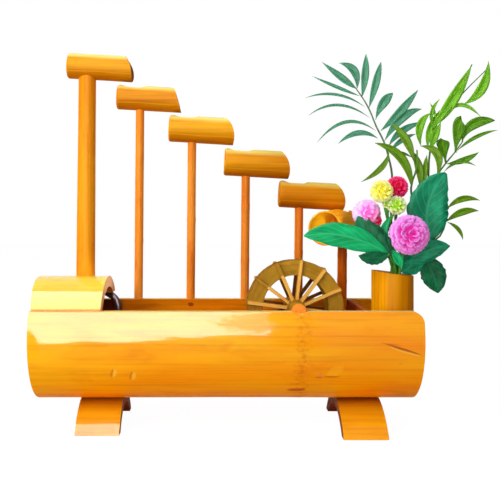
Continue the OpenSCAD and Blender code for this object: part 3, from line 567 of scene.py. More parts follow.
# Places a mesh drawn in mm in the frame and lets it stand for a CAD node. Bevels take the last material.
def finishPiece(name, bm, node, mats, body="stand", crease=35, edge=None, thick=0.0):
    bmesh.ops.recalc_face_normals(bm, faces=bm.faces)
    bm.transform(toFrame)
    mesh = bpy.data.meshes.new(name)
    bm.to_mesh(mesh)
    bm.free()
    for mat in mats:
        mesh.materials.append(materials[mat])
    mesh.shade_smooth()
    mesh.set_sharp_from_angle(angle=radians(crease))
    piece = addObject(name, mesh)
    if thick:
        sheet = piece.modifiers.new("thickness", "SOLIDIFY")
        sheet.thickness = thick / 1000
        sheet.offset = 0
    if edge:
        rounded = piece.modifiers.new("edges", "BEVEL")
        rounded.width = edge / 1000
        rounded.segments = 2
        rounded.limit_method = "ANGLE"
        rounded.angle_limit = radians(40)
        rounded.material = len(mats) - 1
        rounded.harden_normals = True
    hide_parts(node)
    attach(piece, body)


# Spins (x, r) points round X.
def turned(profile, steps, closed=True):
    bm = bmesh.new()
    verts = [bm.verts.new((x, 0, r)) for x, r in profile]
    edges = [bm.edges.new(pair) for pair in zip(verts, verts[1:])]
    if closed:
        edges.append(bm.edges.new((verts[-1], verts[0])))
    bmesh.ops.spin(bm, geom=verts + edges, cent=(0, 0, 0), axis=(1, 0, 0), angle=2 * pi, steps=steps,
                   use_merge=True)
    bmesh.ops.remove_doubles(bm, verts=bm.verts, dist=0.001)
    return bm


# Moves a point away from the axis that is square to the two given ones.
def pushOut(v, amount, first=1, second=2):
    r = hypot(v.co[first], v.co[second])
    v.co[first] *= (r + amount) / r
    v.co[second] *= (r + amount) / r


# Noise that closes round the X axis: its scale along the axis and around it.
def roundWave(v, along, around, shift=0):
    a = atan2(v.co.y, v.co.z)
    return wave(v.co.x * along, around * cos(a), around * sin(a) + shift)


# Cuts along a plane and drops what lies past it, or keeps both parts joined.
def halve(bm, point, normal, drop=True):
    everything = bm.verts[:] + bm.edges[:] + bm.faces[:]
    bmesh.ops.bisect_plane(bm, geom=everything, plane_co=point, plane_no=normal, clear_outer=drop,
                           dist=0.0001)


# Cuts off what lies past a plane and closes the cut.
def keepBelow(bm, point, normal):
    halve(bm, point, normal)
    rims = [e for e in bm.edges if e.is_boundary]
    if rims:
        bmesh.ops.holes_fill(bm, edges=rims, sides=0)


def boxOf(bm, low, high):
    made = bmesh.ops.create_cube(bm, size=1)["verts"]
    for v in made:
        v.co = Vector([low[i] + (high[i] - low[i]) * (v.co[i] + 0.5) for i in range(3)])
    return made


def rodOf(bm, radius, z0, z1, steps, place):
    bmesh.ops.create_cone(bm, cap_ends=True, segments=steps, radius1=radius, radius2=radius, depth=z1 - z0,
                          matrix=place @ moved(0, 0, (z0 + z1) / 2))


# A prism on the outline's points, drawn out by a vector.
def prism(points, along):
    bm = bmesh.new()
    face = bm.faces.new([bm.verts.new(p) for p in points])
    drawn = bmesh.ops.extrude_face_region(bm, geom=[face])["geom"]
    bmesh.ops.translate(bm, verts=[g for g in drawn if isinstance(g, bmesh.types.BMVert)], vec=along)
    return bm


# Takes the cutter away from bm. The faces that it leaves have material 2.
def carve(bm, cutter):
    for face in cutter.faces:
        face.material_index = 2
    made = []
    for part in (bm, cutter):
        bmesh.ops.recalc_face_normals(part, faces=part.faces)
        mesh = bpy.data.meshes.new("carving")
        part.to_mesh(mesh)
        for _ in range(3):
            mesh.materials.append(None)
        made.append(addObject("carving", mesh))
        part.free()
    cut = made[0].modifiers.new("cut", "BOOLEAN")
    cut.object = made[1]
    cut.operation = "DIFFERENCE"
    cut.solver = "EXACT"
    bpy.context.view_layer.update()
    whole = made[0].evaluated_get(bpy.context.evaluated_depsgraph_get())
    result = bmesh.new()
    result.from_mesh(whole.to_mesh())
    whole.to_mesh_clear()
    for piece in made:
        mesh = piece.data
        bpy.data.objects.remove(piece)
        bpy.data.meshes.remove(mesh)
    return result


def paint(bm, rule):
    bmesh.ops.recalc_face_normals(bm, faces=bm.faces)
    for face in bm.faces:
        face.material_index = rule(face.calc_center_median(), face.normal)


# 0 for an outer skin face, 1 for an inner one, 2 for a cut, by how a face looks at the axis.
def skinIndex(a, b, na, nb):
    across = (a * na + b * nb) / max(hypot(a, b), 0.001)
    return 0 if across > 0.6 else 1 if across < -0.6 else 2


# A round stem of material 1 through the points; its far end narrows to tip times its radius.
def tubeAlong(bm, points, radius, tip=1.0):
    data = bpy.data.curves.new("stem", "CURVE")
    data.dimensions = "3D"
    data.bevel_depth = radius
    data.bevel_resolution = 2
    data.resolution_u = 3
    data.use_fill_caps = True
    line = data.splines.new("BEZIER")
    line.bezier_points.add(len(points) - 1)
    for i, (knot, point) in enumerate(zip(line.bezier_points, points)):
        knot.co = point
        knot.handle_left_type = knot.handle_right_type = "AUTO"
        knot.radius = 1 + (tip - 1) * i / (len(points) - 1)
    piece = addObject("stem", data)
    bpy.context.view_layer.update()
    whole = piece.evaluated_get(bpy.context.evaluated_depsgraph_get())
    before = len(bm.faces)
    bm.from_mesh(whole.to_mesh())
    whole.to_mesh_clear()
    bm.faces.ensure_lookup_table()
    for face in bm.faces[before:]:
        face.material_index = 1
    bpy.data.objects.remove(piece)
    bpy.data.curves.remove(data)


# Basin.

wheelFrame = Matrix(((1, 0, 0, wheel["x"]), (0, sin(wheel["tilt"]), cos(wheel["tilt"]), 0),
                     (0, cos(wheel["tilt"]), -sin(wheel["tilt"]), wheel["z"]), (0, 0, 0, 1)))

# Dents and bumps on the basin's front: place, half sizes and depth.
knocks = [(-94, 55, 3.5, 4.5, -0.5), (-78, 52.5, 3.5, 4, -0.5), (79.7, 53.8, 4, 3.6, 0.5),
          (91.5, 56, 7, 6, -0.35)]

# The hollow in the front rim where the wheel turns past.
rimDip = dict(r=11.8, up=10, reach=63)


# The culm's outer radius: a raised ring with a groove beside it at the node.
def basinRadius(x):
    away = x - basin["ringX"]
    swell = 0.14 * max(0, 1 - abs(away) / 10) ** 1.5
    groove = 0.06 * max(0, 1 - abs(away - 4.2) / 2)
    return basin["outer"] + swell - groove


def knock(x, z):
    depth = 0.0
    for cx, cz, w, h, d in knocks:
        away = hypot((x - cx) / w, (z - cz) / h)
        depth += d * max(0, 1 - away * away)
    return depth


def buildBasin():
    half, inner, axisZ, rim, worn = (basin[key] for key in ("half", "inner", "axisZ", "rimZ", "worn"))
    outer = [(x, basinRadius(x)) for x in run(-half, half, 150)]
    bm = turned(outer + [(x, inner) for x in run(half, -half, 24)], 120)
    for v in bm.verts:
        if hypot(v.co.y, v.co.z) > inner + 2:
            drift = 0.28 * roundWave(v, 0.012, 3) + 0.1 * roundWave(v, 0.03, 14)
            if v.co.y < 0:
                drift += knock(v.co.x, v.co.z + axisZ)
        else:
            drift = 0.35 * roundWave(v, 0.02, 5, 9)
        pushOut(v, drift)
    bm.transform(moved(0, 0, axisZ))
    keepBelow(bm, (0, 0, rim), (0, 0, 1))
    paint(bm, lambda c, n: skinIndex(c.y, c.z - axisZ, n.y, n.z))
    bores, seats, dip = bmesh.new(), bmesh.new(), bmesh.new()
    seatHalf = wheel["axleHalf"] + 0.3
    for r, z0, z1 in ((wheel["axle"] + 0.05, -seatHalf, 0), (wheel["journal"] + 0.05, 0, seatHalf)):
        rodOf(bores, r, z0, z1, 40, wheelFrame)
        for v in boxOf(seats, (-r, 0, z0), (r, 30, z1)):
            v.co = wheelFrame @ v.co
    towardsFront = moved(wheel["x"], 0, rim + rimDip["up"]) @ spun(pi / 2, "X")
    rodOf(dip, rimDip["r"], 0, rimDip["reach"], 72, towardsFront)
    cx, cz = half - worn, rim - worn
    corner = [(cx + worn * sin(a), cz + worn * cos(a)) for a in run(0, pi / 2, 14)]
    corner += [(half + 6, cz), (half + 6, cz + worn + 6), (cx, cz + worn + 6)]
    for part in (bores, seats, dip, prism([(x, -70, z) for x, z in corner], (0, 140, 0))):
        bm = carve(bm, part)
    finishPiece("basin", bm, "trough",
                ["basinSkin", "basinInside", "basinCut", "rimEdge"], edge=0.9)


# Cover.

cover = dict(left=-166, right=-105.5, outer=63.7, wall=10, axisZ=69.7, flatten=0.965, high=26.7, lip=2)
notch = dict(left=-147, step=-122.5, low=7.6, high=18, start=29)


def buildCover():
    x0, x1, outer, cz, lip = (cover[key] for key in ("left", "right", "outer", "axisZ", "lip"))
    rim = basin["rimZ"]
    profile = [(x, outer) for x in run(x0, x1, 30)] + [(x, outer - cover["wall"]) for x in run(x1, x0, 10)]
    bm = turned(profile, 144)
    for v in bm.verts:
        pushOut(v, 0.2 * roundWave(v, 0.02, 4, 5))
    bm.transform(moved(0, 0, cz))
    for v in bm.verts:
        v.co.z = rim + (v.co.z - rim) * cover["flatten"]
    halve(bm, (0, 0, rim + lip), (0, 0, 1), drop=False)
    keepBelow(bm, (0, 0, rim + 0.01), (0, 0, -1))
    for v in bm.verts:
        rise = (v.co.z - rim) / cover["high"]
        v.co.x -= (2.4 * rise - 2.2 * (1 - rise)) * clamp((-140 - v.co.x) / 26)
        if v.co.z < rim + lip - 0.1 and hypot(v.co.y, v.co.z - cz) > outer - 3:
            v.co.y *= 1 - 0.032 * (rim + lip - v.co.z)
    paint(bm, lambda c, n: 2 if c.z < rim + lip - 0.2 else skinIndex(c.y, c.z - cz, n.y, n.z))
    outline = [(notch["left"], -1), (x1 + 1, -1), (x1 + 1, notch["low"]), (notch["step"], notch["high"]),
               (notch["left"], notch["high"])]
    bm = carve(bm, prism([(x, notch["start"], rim + z) for x, z in outline], (0, 60, 0)))
    finishPiece("coverShell", bm, "cover",
                ["coverSkin", "coverInside", "coverEnd", "rimEdge"], body="cover", edge=0.6)


# Feet. Each is an arched slice of a wider culm with a saddle for the basin.

arch = dict(rise=25.8, wall=8.5, half=19, heel=50)


def buildFoot(name, x, span):
    rise, half = arch["rise"], arch["half"]
    r = (span * span + rise * rise) / (2 * rise)
    y, cz = arch["heel"] - span, rise - r
    outer = [(px, r) for px in run(x - half, x + half, 16)]
    bm = turned(outer + [(px, r - arch["wall"]) for px in run(x + half, x - half, 8)], 160)
    for v in bm.verts:
        v.co += Vector((0, y, cz + 0.12 * wave(v.co.x * 0.05, v.co.y * 0.08, v.co.z * 0.08)))
    keepBelow(bm, (0, 0, 0), (0, 0, -1))
    paint(bm, lambda c, n: skinIndex(c.y - y, c.z - cz, n.y, n.z))
    saddle = bmesh.new()
    rodOf(saddle, basin["outer"] + 0.02, -60, 60, 160, moved(x, 0, basin["axisZ"]) @ spun(pi / 2, "Y"))
    bm = carve(bm, saddle)
    finishPiece(name + "Arch", bm, name, ["footSkin", "footShadeInside", "footCut", "cutEdge"],
                edge=0.5)


# Spouts. Each has a mouth that is cut slanting and curved.

spouts = [dict(x=-152.5, z=329.8, r=12.2, mouth=26), dict(x=-105, z=299.7, r=11.8, mouth=200),
          dict(x=-55, z=269.5, r=12.9, mouth=26), dict(x=-1.9, z=237.1, r=13.2, mouth=28),
          dict(x=50.8, z=206.3, r=12.9, mouth=27)]
spout = dict(length=63.5, wall=3, cap=5, edge=2.2, cut=8, short=1.2, slope=radians(3.3))
inlet = dict(r=7, near=11, far=21)
cupSpout = dict(r=16, length=49.3, cut=3, curve=60, thinned=1.7, z=177.6, back=6, hole=9.4,
                turn=radians(-120.4), slope=radians(3))


def spoutMid(i):
    s = spouts[i]
    return s["z"] + (s["x"] + spout["length"] / 2 - postX[i]) * tan(spout["slope"])


# How far a curved mouth reaches at height z above the spout's axis.
def mouthEnd(r, length, cut, curve):
    half = hypot(cut / 2, r)
    away = sqrt(curve * curve - half * half)
    cx = length - cut / 2 - away * r / half
    cz = -away * cut / 2 / half
    return lambda z: cx + sqrt(max(curve * curve - (z - cz) ** 2, 0))


def spoutMesh(r, length, cut, curve, seed, thinned=0.0):
    edge, cap, wall = spout["edge"], spout["cap"], spout["wall"]
    rounded = [(edge - edge * sin(a), r - edge + edge * cos(a)) for a in run(pi / 2, 0, 6)]
    outer = [(0, 0.0), (0, r * 0.5)] + rounded + [(x, r) for x in run(edge, length, 26)[1:]]
    inside = [(x, r - wall + thinned * smooth(x, length - 14, length)) for x in run(length, cap, 16)]
    bm = turned(outer + inside + [(cap, 0.0)], 64, closed=False)
    reach = mouthEnd(r, length, cut, curve)
    start = length * 0.55
    for v in bm.verts:
        if v.co.x > start:
            v.co.x = start + (v.co.x - start) * (reach(v.co.z) - start) / (length - start)
        if hypot(v.co.y, v.co.z) > r - 1:
            pushOut(v, 0.16 * wave(v.co.x * 0.04, v.co.y * 0.2, v.co.z * 0.2 + seed))
    paint(bm, lambda c, n: 0 if c.x <= 6 else 2 if abs(n.x) > 0.75 and c.x > start
          else skinIndex(c.y, c.z, n.y, n.z))
    return bm


def buildSpout(i):
    s = spouts[i]
    bm = spoutMesh(s["r"], spout["length"] - spout["short"], spout["cut"], s["mouth"], i * 7)
    if i > 0:
        r, turn = inlet["r"], run(0, pi, 16)
        points = [(inlet["near"] - r * sin(a), r * cos(a), 0.5) for a in turn]
        points += [(inlet["far"] + r * sin(a), -r * cos(a), 0.5) for a in turn]
        bm = carve(bm, prism(points, (0, 0, 30)))
    level = s["z"] + spout["length"] / 2 * sin(spout["slope"])
    bm.transform(moved(s["x"], landY, level) @ spun(spout["slope"], "Y") @ moved(spout["short"], 0, 0))
    finishPiece(f"spoutCulm{i + 1}", bm, f"spout_{i + 1}",
                ["spoutSkin", "spoutShadeCut", "spoutShadeCut", "cutEdge"], edge=0.45)


def buildCupSpout():
    s = cupSpout
    bm = spoutMesh(s["r"], s["length"], s["cut"], s["curve"], 50, s["thinned"])
    bm.transform(moved(postX[5], landY, s["z"]) @ spun(s["turn"], "Z") @ spun(s["slope"], "Y")
                 @ moved(-s["back"], 0, 0))
    hole = bmesh.new()
    rodOf(hole, s["hole"], s["z"], 210, 40, moved(postX[5] - 1, landY - 3, 0))
    bm = carve(bm, hole)
    finishPiece("cupSpout", bm, "cup_spout", ["cupSkin", "cupInside", "cupRim", "cupRim"],
                edge=0.3)


# Posts. Each is a thin culm that leans a little and swells at its nodes.

post = dict(thin=4.1, last=4.55, riserFoot=9.2, riserHead=8.2, lean=radians(0.5))


def buildPost(i, name, foot, head, mat, radius, headRadius=None):
    headRadius = headRadius or radius
    nodes = [foot + (head - foot) * f for f in ((0.31, 0.74) if i % 2 else (0.5,))]
    profile = []
    for z in run(foot, head, 36):
        t = (z - foot) / (head - foot)
        swell = sum(0.22 * max(0, 1 - abs(z - n) / 3.5) for n in nodes) if i else 0
        profile.append((z, radius + (headRadius - radius) * t + swell))
    bm = turned([(foot, 0.0)] + profile + [(head, 0.0)], 28, closed=False)
    for v in bm.verts:
        if hypot(v.co.y, v.co.z) > 0.5:
            pushOut(v, 0.12 * wave(v.co.x * 0.03, v.co.y * 0.3 + i * 9, v.co.z * 0.3))
    rim = basin["rimZ"]
    bm.transform(moved(postX[i], landY, rim) @ spun(post["lean"], "Y") @ moved(0, 0, -rim) @ upright)
    finishPiece(name + "Culm", bm, name, [mat])


def buildPosts():
    rim = basin["rimZ"]
    buildPost(0, "riser_post", rim - 16, spoutMid(0) - 6, "riserSkin", post["riserFoot"], post["riserHead"])
    for i in range(1, 5):
        buildPost(i, f"post_{i + 1}", rim - 0.3, spoutMid(i) - spouts[i]["r"] + 2, "postSkin", post["thin"])
    buildPost(5, "post_6", rim - 0.3, cupSpout["z"] - 14, "lastPostSkin", post["last"])


# Wheel. It is drawn round Z, with its front at the lower end.

def uvAlongX(bm):
    layer = bm.loops.layers.uv.verify()
    for face in bm.faces:
        for loop in face.loops:
            loop[layer].uv = (loop.vert.co.x * 0.001, (loop.vert.co.y + loop.vert.co.z) * 0.001)


# Unrolls a ring: U runs round it and V outwards.
def uvAround(bm):
    layer = bm.loops.layers.uv.verify()
    for face in bm.faces:
        start = atan2(face.calc_center_median().y, face.calc_center_median().x)
        for loop in face.loops:
            a = atan2(loop.vert.co.y, loop.vert.co.x)
            a += 2 * pi * round((start - a) / (2 * pi))
            outwards = hypot(loop.vert.co.x, loop.vert.co.y) + loop.vert.co.z
            loop[layer].uv = (a * 0.037, outwards * 0.001)


# Adds a split stick from x0 outwards, slightly uneven, lying on local z0. Two sticks, at the wheel's upper
# left, have material 1 where they cross the ring.
def addStick(bm, x0, x1, width, thick, z0, angle, seed):
    part = bmesh.new()
    boxOf(part, (x0, -width / 2, z0), (x1, width / 2, z0 + thick))
    long = [e for e in part.edges if abs(e.verts[0].co.x - e.verts[1].co.x) > 1]
    bmesh.ops.subdivide_edges(part, edges=long, cuts=5, use_grid_fill=True)
    uvAlongX(part)
    random.seed(seed)
    sway = random.uniform(-0.25, 0.25)
    for v in part.verts:
        t = (v.co.x - x0) / (x1 - x0)
        v.co.y += sway * sin(pi * t) + 0.12 * wave(v.co.x * 0.1, seed, 0)
    if 100 < degrees(angle) % 360 < 150:
        for face in part.faces:
            face.material_index = 1 if face.calc_center_median().x > wheel["inner"] else 0
    part.transform(spun(angle, "Z"))
    mesh = bpy.data.meshes.new("stick")
    part.to_mesh(mesh)
    part.free()
    bm.from_mesh(mesh)
    bpy.data.meshes.remove(mesh)


def finishWheelPart(name, bm, node, mats, edge=None):
    bm.transform(wheelFrame)
    finishPiece(name, bm, node, mats, body="wheel", edge=edge)


def buildRing(side, z0):
    inner, outer, z1 = wheel["inner"], wheel["outer"], z0 + wheel["ring"]
    bm = turned([(z0, inner), (z0, (inner + outer) / 2), (z0, outer), (z1, outer), (z1, inner)], 144)
    bm.transform(upright)
    uvAround(bm)
    joints = [wheel["first"] + k * 2 * pi / wheel["count"] for k in range(wheel["count"])]
    for v in bm.verts:
        a = atan2(v.co.y, v.co.x)
        joint = min(abs((a - j + pi) % (2 * pi) - pi) for j in joints)
        v.co.z += 0.18 * wave(v.co.x * 0.08, v.co.y * 0.08, z0) - 0.1 * max(0, 1 - joint / 0.03)
    finishWheelPart(side + "ringBand", bm, side + "_ring", ["ringWood", "cutEdge"], edge=0.35)


def buildSpokes(side, z0):
    w = wheel
    bm = bmesh.new()
    for k in range(w["count"]):
        width = w["spokeW"] * (0.94 if k % 2 else 0.84)
        angle = w["first"] + k * 2 * pi / w["count"]
        seed = k + (20 if side == "back" else 0)
        addStick(bm, w["hub"] - 1.5, w["outer"] + 0.6, width, w["spokeT"], z0, angle, seed)
    mats = ["backShadeWood" if side == "back" else "spokeWood", "ringWood", "cutEdge"]
    finishWheelPart(side + "spokesSet", bm, side + "_spokes", mats, edge=0.3)


def buildPaddles(reach):
    bm = bmesh.new()
    for k in range(wheel["count"]):
        made = boxOf(bm, (wheel["inner"] + 1, -1, -reach), (wheel["outer"] + 1.6, 1, reach))
        turn = Matrix.Rotation(wheel["first"] + k * 2 * pi / wheel["count"], 3, "Z")
        bmesh.ops.rotate(bm, verts=made, cent=(0, 0, 0), matrix=turn)
    uvAlongX(bm)
    finishWheelPart("paddleSet", bm, "paddles", ["ringWood", "cutEdge"], edge=0.3)


def buildHub(side, z0):
    bore, r, z1 = wheel["axle"], wheel["hub"], z0 + wheel["ring"] + wheel["spokeT"]
    bm = turned([(z0, bore), (z0, r), (z1, r), (z1, bore)], 48)
    bm.transform(upright)
    finishWheelPart(side + "hubDisc", bm, side + "_hub", ["hubWood", "cutEdge"], edge=0.4)


def buildAxle():
    half, r, nose, shoulder, journal = (
        wheel[key] for key in ("axleHalf", "axle", "nose", "shoulder", "journal"))
    profile = [(-half, 0.0), (-half, 2.0)]
    profile += [(-half + nose - nose * cos(a), r - nose + nose * sin(a)) for a in run(0, pi / 2, 5)]
    profile += [(x, r) for x in run(-half + nose, shoulder, 12)[1:]]
    profile += [(shoulder, journal), (half, journal), (half, 0.0)]
    bm = turned(profile, 44, closed=False)
    for v in bm.verts:
        if v.co.x < -30:
            v.co.y += 0.06 * wave(v.co.x * 0.1, v.co.y * 0.3, v.co.z * 0.3)
    paint(bm, lambda c, n: 0 if c.x < 12 - half else 1)
    bm.transform(upright)
    finishWheelPart("axleRod", bm, "axle", ["axleSkin", "hubWood"])


def buildWheel():
    mid, ring, thick = wheel["gap"] / 2, wheel["ring"], wheel["spokeT"]
    buildRing("front", -mid - ring / 2)
    buildRing("back", mid - ring / 2)
    buildSpokes("front", -mid - ring / 2 - thick)
    buildSpokes("back", mid + ring / 2)
    buildPaddles(mid - ring / 2)
    buildHub("front", -mid - ring / 2 - thick)
    buildHub("back", mid - ring / 2)
    buildAxle()


# Flower cup.

vase = dict(x=146, y=-22, z=56, h=83.6, outer=18.2, wall=3.4, floor=4, slant=radians(7.5))


def buildFlowerCup():
    r, top, floor = vase["outer"], vase["h"] + 8, vase["floor"]
    outer = [(0, 0.0), (0, r - 0.8)] + [(z, r) for z in run(0.8, top, 40)]
    inside = [(z, r - vase["wall"]) for z in run(top, floor, 12)] + [(floor, 0.0)]
    bm = turned(outer + inside, 96, closed=False)
    bm.transform(upright)
    for v in bm.verts:
        if hypot(v.co.x, v.co.y) > r - 1.5:
            a = atan2(v.co.y, v.co.x)
            facet = -0.42 * (0.5 + 0.5 * cos(11 * a + 0.6))
            swell = 0.25 * max(0, 1 - abs(v.co.z - 30) / 4)
            pushOut(v, facet + swell + 0.15 * wave(2 * cos(a), 2 * sin(a), v.co.z * 0.02), 0, 1)
    keepBelow(bm, (-r, 0, vase["h"]), (sin(vase["slant"]), 0, cos(vase["slant"])))
    paint(bm, lambda c, n: 2 if n.z > 0.8 and c.z > 40 else skinIndex(c.x, c.y, n.x, n.y) if c.z > 1 else 0)
    bm.transform(moved(vase["x"], vase["y"], vase["z"]))
    finishPiece("flowerCup", bm, "vase",
                ["vaseSkin", "vaseInside", "vaseRim", "cutEdge"], edge=0.4)


# Sprigs.

# Adds a flat grid with its own UV, to be bent into a leaf or a petal.
def clothGrid(bm, across, along, index):
    layer = bm.loops.layers.uv.verify()
    made = bmesh.ops.create_grid(bm, x_segments=across, y_segments=along, size=0.5)["verts"]
    for face in {f for v in made for f in v.link_faces}:
        face.material_index = index
        for loop in face.loops:
            loop[layer].uv = (loop.vert.co.x + 0.5, loop.vert.co.y + 0.5)
    return made


# A leaf through three points: folded along its rib, with a tip that skew cuts slanting.
def leafBlade(bm, base, middle, tip, width, full=1.0, bias=1.0, fold=0.25, skew=0.0, teeth=0, lengths=14,
              index=0):
    control = middle * 2 - (base + tip) / 2
    for v in clothGrid(bm, 6, lengths, index):
        s, t = v.co.x * 2, v.co.y + 0.5
        centre = base * (1 - t) ** 2 + control * (2 * t * (1 - t)) + tip * t * t
        ahead = ((control - base) * (1 - t) + (tip - control) * t).normalized()
        side = ahead.cross(Vector((0, -1, 0))).normalized()
        up = side.cross(ahead)
        half = width / 2 * max(sin(pi * clamp(t, 0.004, 0.996) ** bias), 0.012) ** full
        if teeth and abs(s) > 0.9:
            half *= 1 + 0.1 * (abs((t * teeth) % 1 - 0.5) * 2 - 0.5)
        v.co = centre + side * half * s + up * (fold * half * abs(s)) + ahead * skew * s * t
        if teeth:
            v.co += up * 0.05 * half * sin(teeth * 3 * t) * abs(s)


# A stem's upright length in the foam.
def rooted(x, y):
    return [Vector((x, y, 64)), Vector((x, y, 97.5))]


def seenLine(y, *pixels):
    return [seen(u, v, y) for u, v in pixels]


# Leaves: pixels at base, middle and tip, the width, and what differs in shape. They start in the plane y of
# their sprig and reach to its plane end, unless they have their own.
palmLeaves = [
    (357, 89, 342, 78, 322, 62, 6.2), (357, 89, 354, 71, 339, 63, 7.4), (360, 96, 338, 87.5, 312, 76, 3.2),
    (365, 107, 336, 94.5, 305, 98, 2.5, dict(end=-17)), (370, 118, 338, 105, 308, 116, 2.5, dict(end=-18)),
    (376, 131, 346, 122, 317, 142.6, 3.1, dict(end=-18)), (378, 138.5, 358, 133, 338, 144, 5.0),
    (362, 97, 365, 76, 366, 54, 6.8, dict(full=0.8, bias=1.1, end=-8)),
    (369, 108, 375, 86, 381, 62, 6.8, dict(full=0.75, bias=1.25, end=-8)),
    (375.6, 120, 382, 105, 393, 93, 8.4, dict(full=0.8, bias=1.5, end=-8)),
    (380.5, 131, 398, 114, 418, 90, 7.4, dict(full=0.8, bias=1.2, end=-6)),
    (384.6, 141, 402, 118, 422, 109, 8.0, dict(end=-6)), (389, 146, 402, 131, 424, 122, 6.4, dict(end=-6)),
    (389.5, 152, 402, 140, 416, 134, 4.6, dict(end=-6))]
limeLeaves = [
    (434, 126, 452, 101, 471.5, 66, 10.5, dict(full=0.85, lengths=18)), (448, 112, 454, 98, 466, 84, 5),
    (428, 148, 430, 130, 440, 110, 6.4, dict(end=-3)), (432, 130, 441, 116, 452, 107, 6),
    (464, 104, 482, 88, 488.5, 61, 9.0, dict(end=-9)), (450, 112, 463, 105, 481, 117, 3.8, dict(end=-9)),
    (433, 128, 432, 112, 440, 99, 3.6), (421, 146, 420, 126, 431, 113, 7.2, dict(end=-9)),
    (430, 150, 435, 136, 441, 122, 6.6), (436, 120, 434, 111, 430, 103, 2.4)]
oliveLeaves = [
    (412, 188, 401, 158, 375, 143, 8.2, dict(full=0.8, lengths=18, end=-21)),
    (414, 162, 406, 140, 392, 124, 7.8), (389, 152, 381, 168, 361, 182, 5.2, dict(end=-21)),
    (420, 190, 419, 168, 411, 150, 7.4), (425, 188, 425, 170, 427, 155, 5.0),
    (437, 176, 437, 154, 420, 146, 7.6), (392, 153, 402, 153, 413, 158, 2.6)]
wedge = dict(full=0.42, fold=0.15, bias=2.9, end=-3)
fanLeaves = [
    (455.6, 152.6, 457, 136, 461.6, 119, 12.6, dict(wedge, skew=-2.6)),
    (462, 142, 472, 125, 495, 120.5, 9.6, dict(full=0.7, bias=1.3)), (457, 151, 476, 137, 498, 130, 3.6),
    (446, 163, 443.6, 150, 442.4, 139, 12, dict(wedge, skew=-1)),
    (446, 164, 464, 160, 479, 152, 5.6), (444, 172, 459, 162, 476, 166, 3.2)]
lowLeaves = [(447, 209, 462, 199, 480, 200.5, 5.6), (446, 222, 462, 212, 479, 211, 6.4),
             (447, 222, 458, 229, 463, 240, 3.6)]
broadLeaves = [
    (388, 254, 345, 236, 304, 236, 21, dict(full=0.68, teeth=11, index=2, fold=0.12)),
    (390, 255, 371, 239, 358, 216, 24, dict(full=0.72, end=-43, teeth=8, index=3, fold=0.12)),
    (390, 259, 383, 243, 378, 224, 13, dict(full=0.9, y=-45, end=-44, teeth=6, index=3)),
    (401, 268, 398, 259, 391, 250, 8, dict(full=0.8, y=-43, end=-44, index=2)),
    (390, 240, 384, 231, 391, 216, 7, dict(full=0.8, y=-41, end=-40, index=2)),
    (389, 254, 374, 258, 358.5, 255.6, 11.5, dict(full=0.75, end=-49, teeth=7, index=3, fold=0.15)),
    (431, 241, 428, 206, 446, 173, 36.5, dict(full=0.62, y=-26, end=-23, teeth=13, fold=0.1, lengths=20,
                                              bias=0.78)),
    (397, 267, 424, 252, 450, 246, 19, dict(full=0.75, y=-28, end=-31, teeth=9, fold=0.12)),
    (425, 255, 413, 265, 401, 272, 16, dict(full=0.75, y=-27, end=-31, teeth=5, fold=0.12)),
    (424, 256, 433, 274, 438, 293, 22, dict(full=0.7, y=-26, end=-28, teeth=8, index=3, fold=0.12))]


# Stems come as points, radius and how much they taper.
def buildSpray(name, node, mats, y, end, stems, leaves, thick=0.3):
    bm = bmesh.new()
    for points, radius, tip in stems:
        tubeAlong(bm, points, radius, tip)
    for u0, v0, u1, v1, u2, v2, width, *own in leaves:
        shape = dict(dict(y=y, end=end), **(own[0] if own else {}))
        near, far = shape.pop("y"), shape.pop("end")
        leafBlade(bm, seen(u0, v0, near), seen(u1, v1, (near + far) / 2), seen(u2, v2, far), width, **shape)
    finishPiece(name, bm, node, mats, body="bouquet", crease=60, thick=thick)


def buildSprays():
    palmRib = seenLine(-12, (391, 205), (392, 175), (389, 159), (384, 142), (376.5, 127), (369, 109),
                       (362, 97), (356, 88.5))
    limeRib = seenLine(-5, (427, 200), (429, 160), (434, 132), (441, 115), (450, 101), (459, 89),
                       (472, 64.5))
    limeSide = seenLine(-5, (452, 106), (464, 92), (486, 70))
    oliveRib = seenLine(-17, (412, 200), (411, 188), (417, 166), (417, 150))
    fanRib = [seen(425, 200, -4)] + seenLine(0, (438, 174), (446, 163), (455, 152), (463, 141))
    lowRib = seenLine(-21, (440, 236), (448, 214))
    fork = Vector((146.4, -30.4, 142))
    broadFront = rooted(144.5, -31.5) + [fork, seen(388, 254, -46)]
    broadBack = [fork] + seenLine(-26, (395, 262), (412, 262), (430, 240))
    buildSpray("palmSpray", "palm_sprig", ["palmLeaf", "palmStem"], -12, -15,
               [(rooted(144.5, -12) + [Vector((147.5, -14, 142))] + palmRib, 1.1, 0.35)], palmLeaves)
    buildSpray("limeSpray", "lime_sprig", ["limeLeaf", "greenStem"], -5, -8,
               [(rooted(149, -12.6) + [Vector((150, -14, 142))] + limeRib, 1.0, 0.4), (limeSide, 0.5, 0.5)],
               limeLeaves)
    buildSpray("oliveSpray", "olive_sprig", ["oliveLeaf", "greenStem"], -17, -12,
               [(rooted(150, -18) + [Vector((151, -17.6, 142))] + oliveRib, 1.1, 0.5)], oliveLeaves)
    buildSpray("fanSpray", "fan_sprig", ["fanLeaf", "greenStem"], 0, -4,
               [(rooted(153.6, -14.4) + [Vector((152.6, -15, 142))] + fanRib, 1.0, 0.4)], fanLeaves)
    buildSpray("lowSpray", "low_sprig", ["oliveLeaf", "greenStem"], -21, -17,
               [(rooted(156, -20.8) + [Vector((153.6, -20.6, 142))] + lowRib, 1.0, 0.5)], lowLeaves)
    buildSpray("broadSpray", "broad_sprig",
               ["broadLeaf", "brightStem", "brightLeaf", "darkLeaf"], -46, -50,
               [(broadFront, 1.3, 0.8), (broadBack, 1.1, 0.7)], broadLeaves, thick=0.35)


# Flowers.

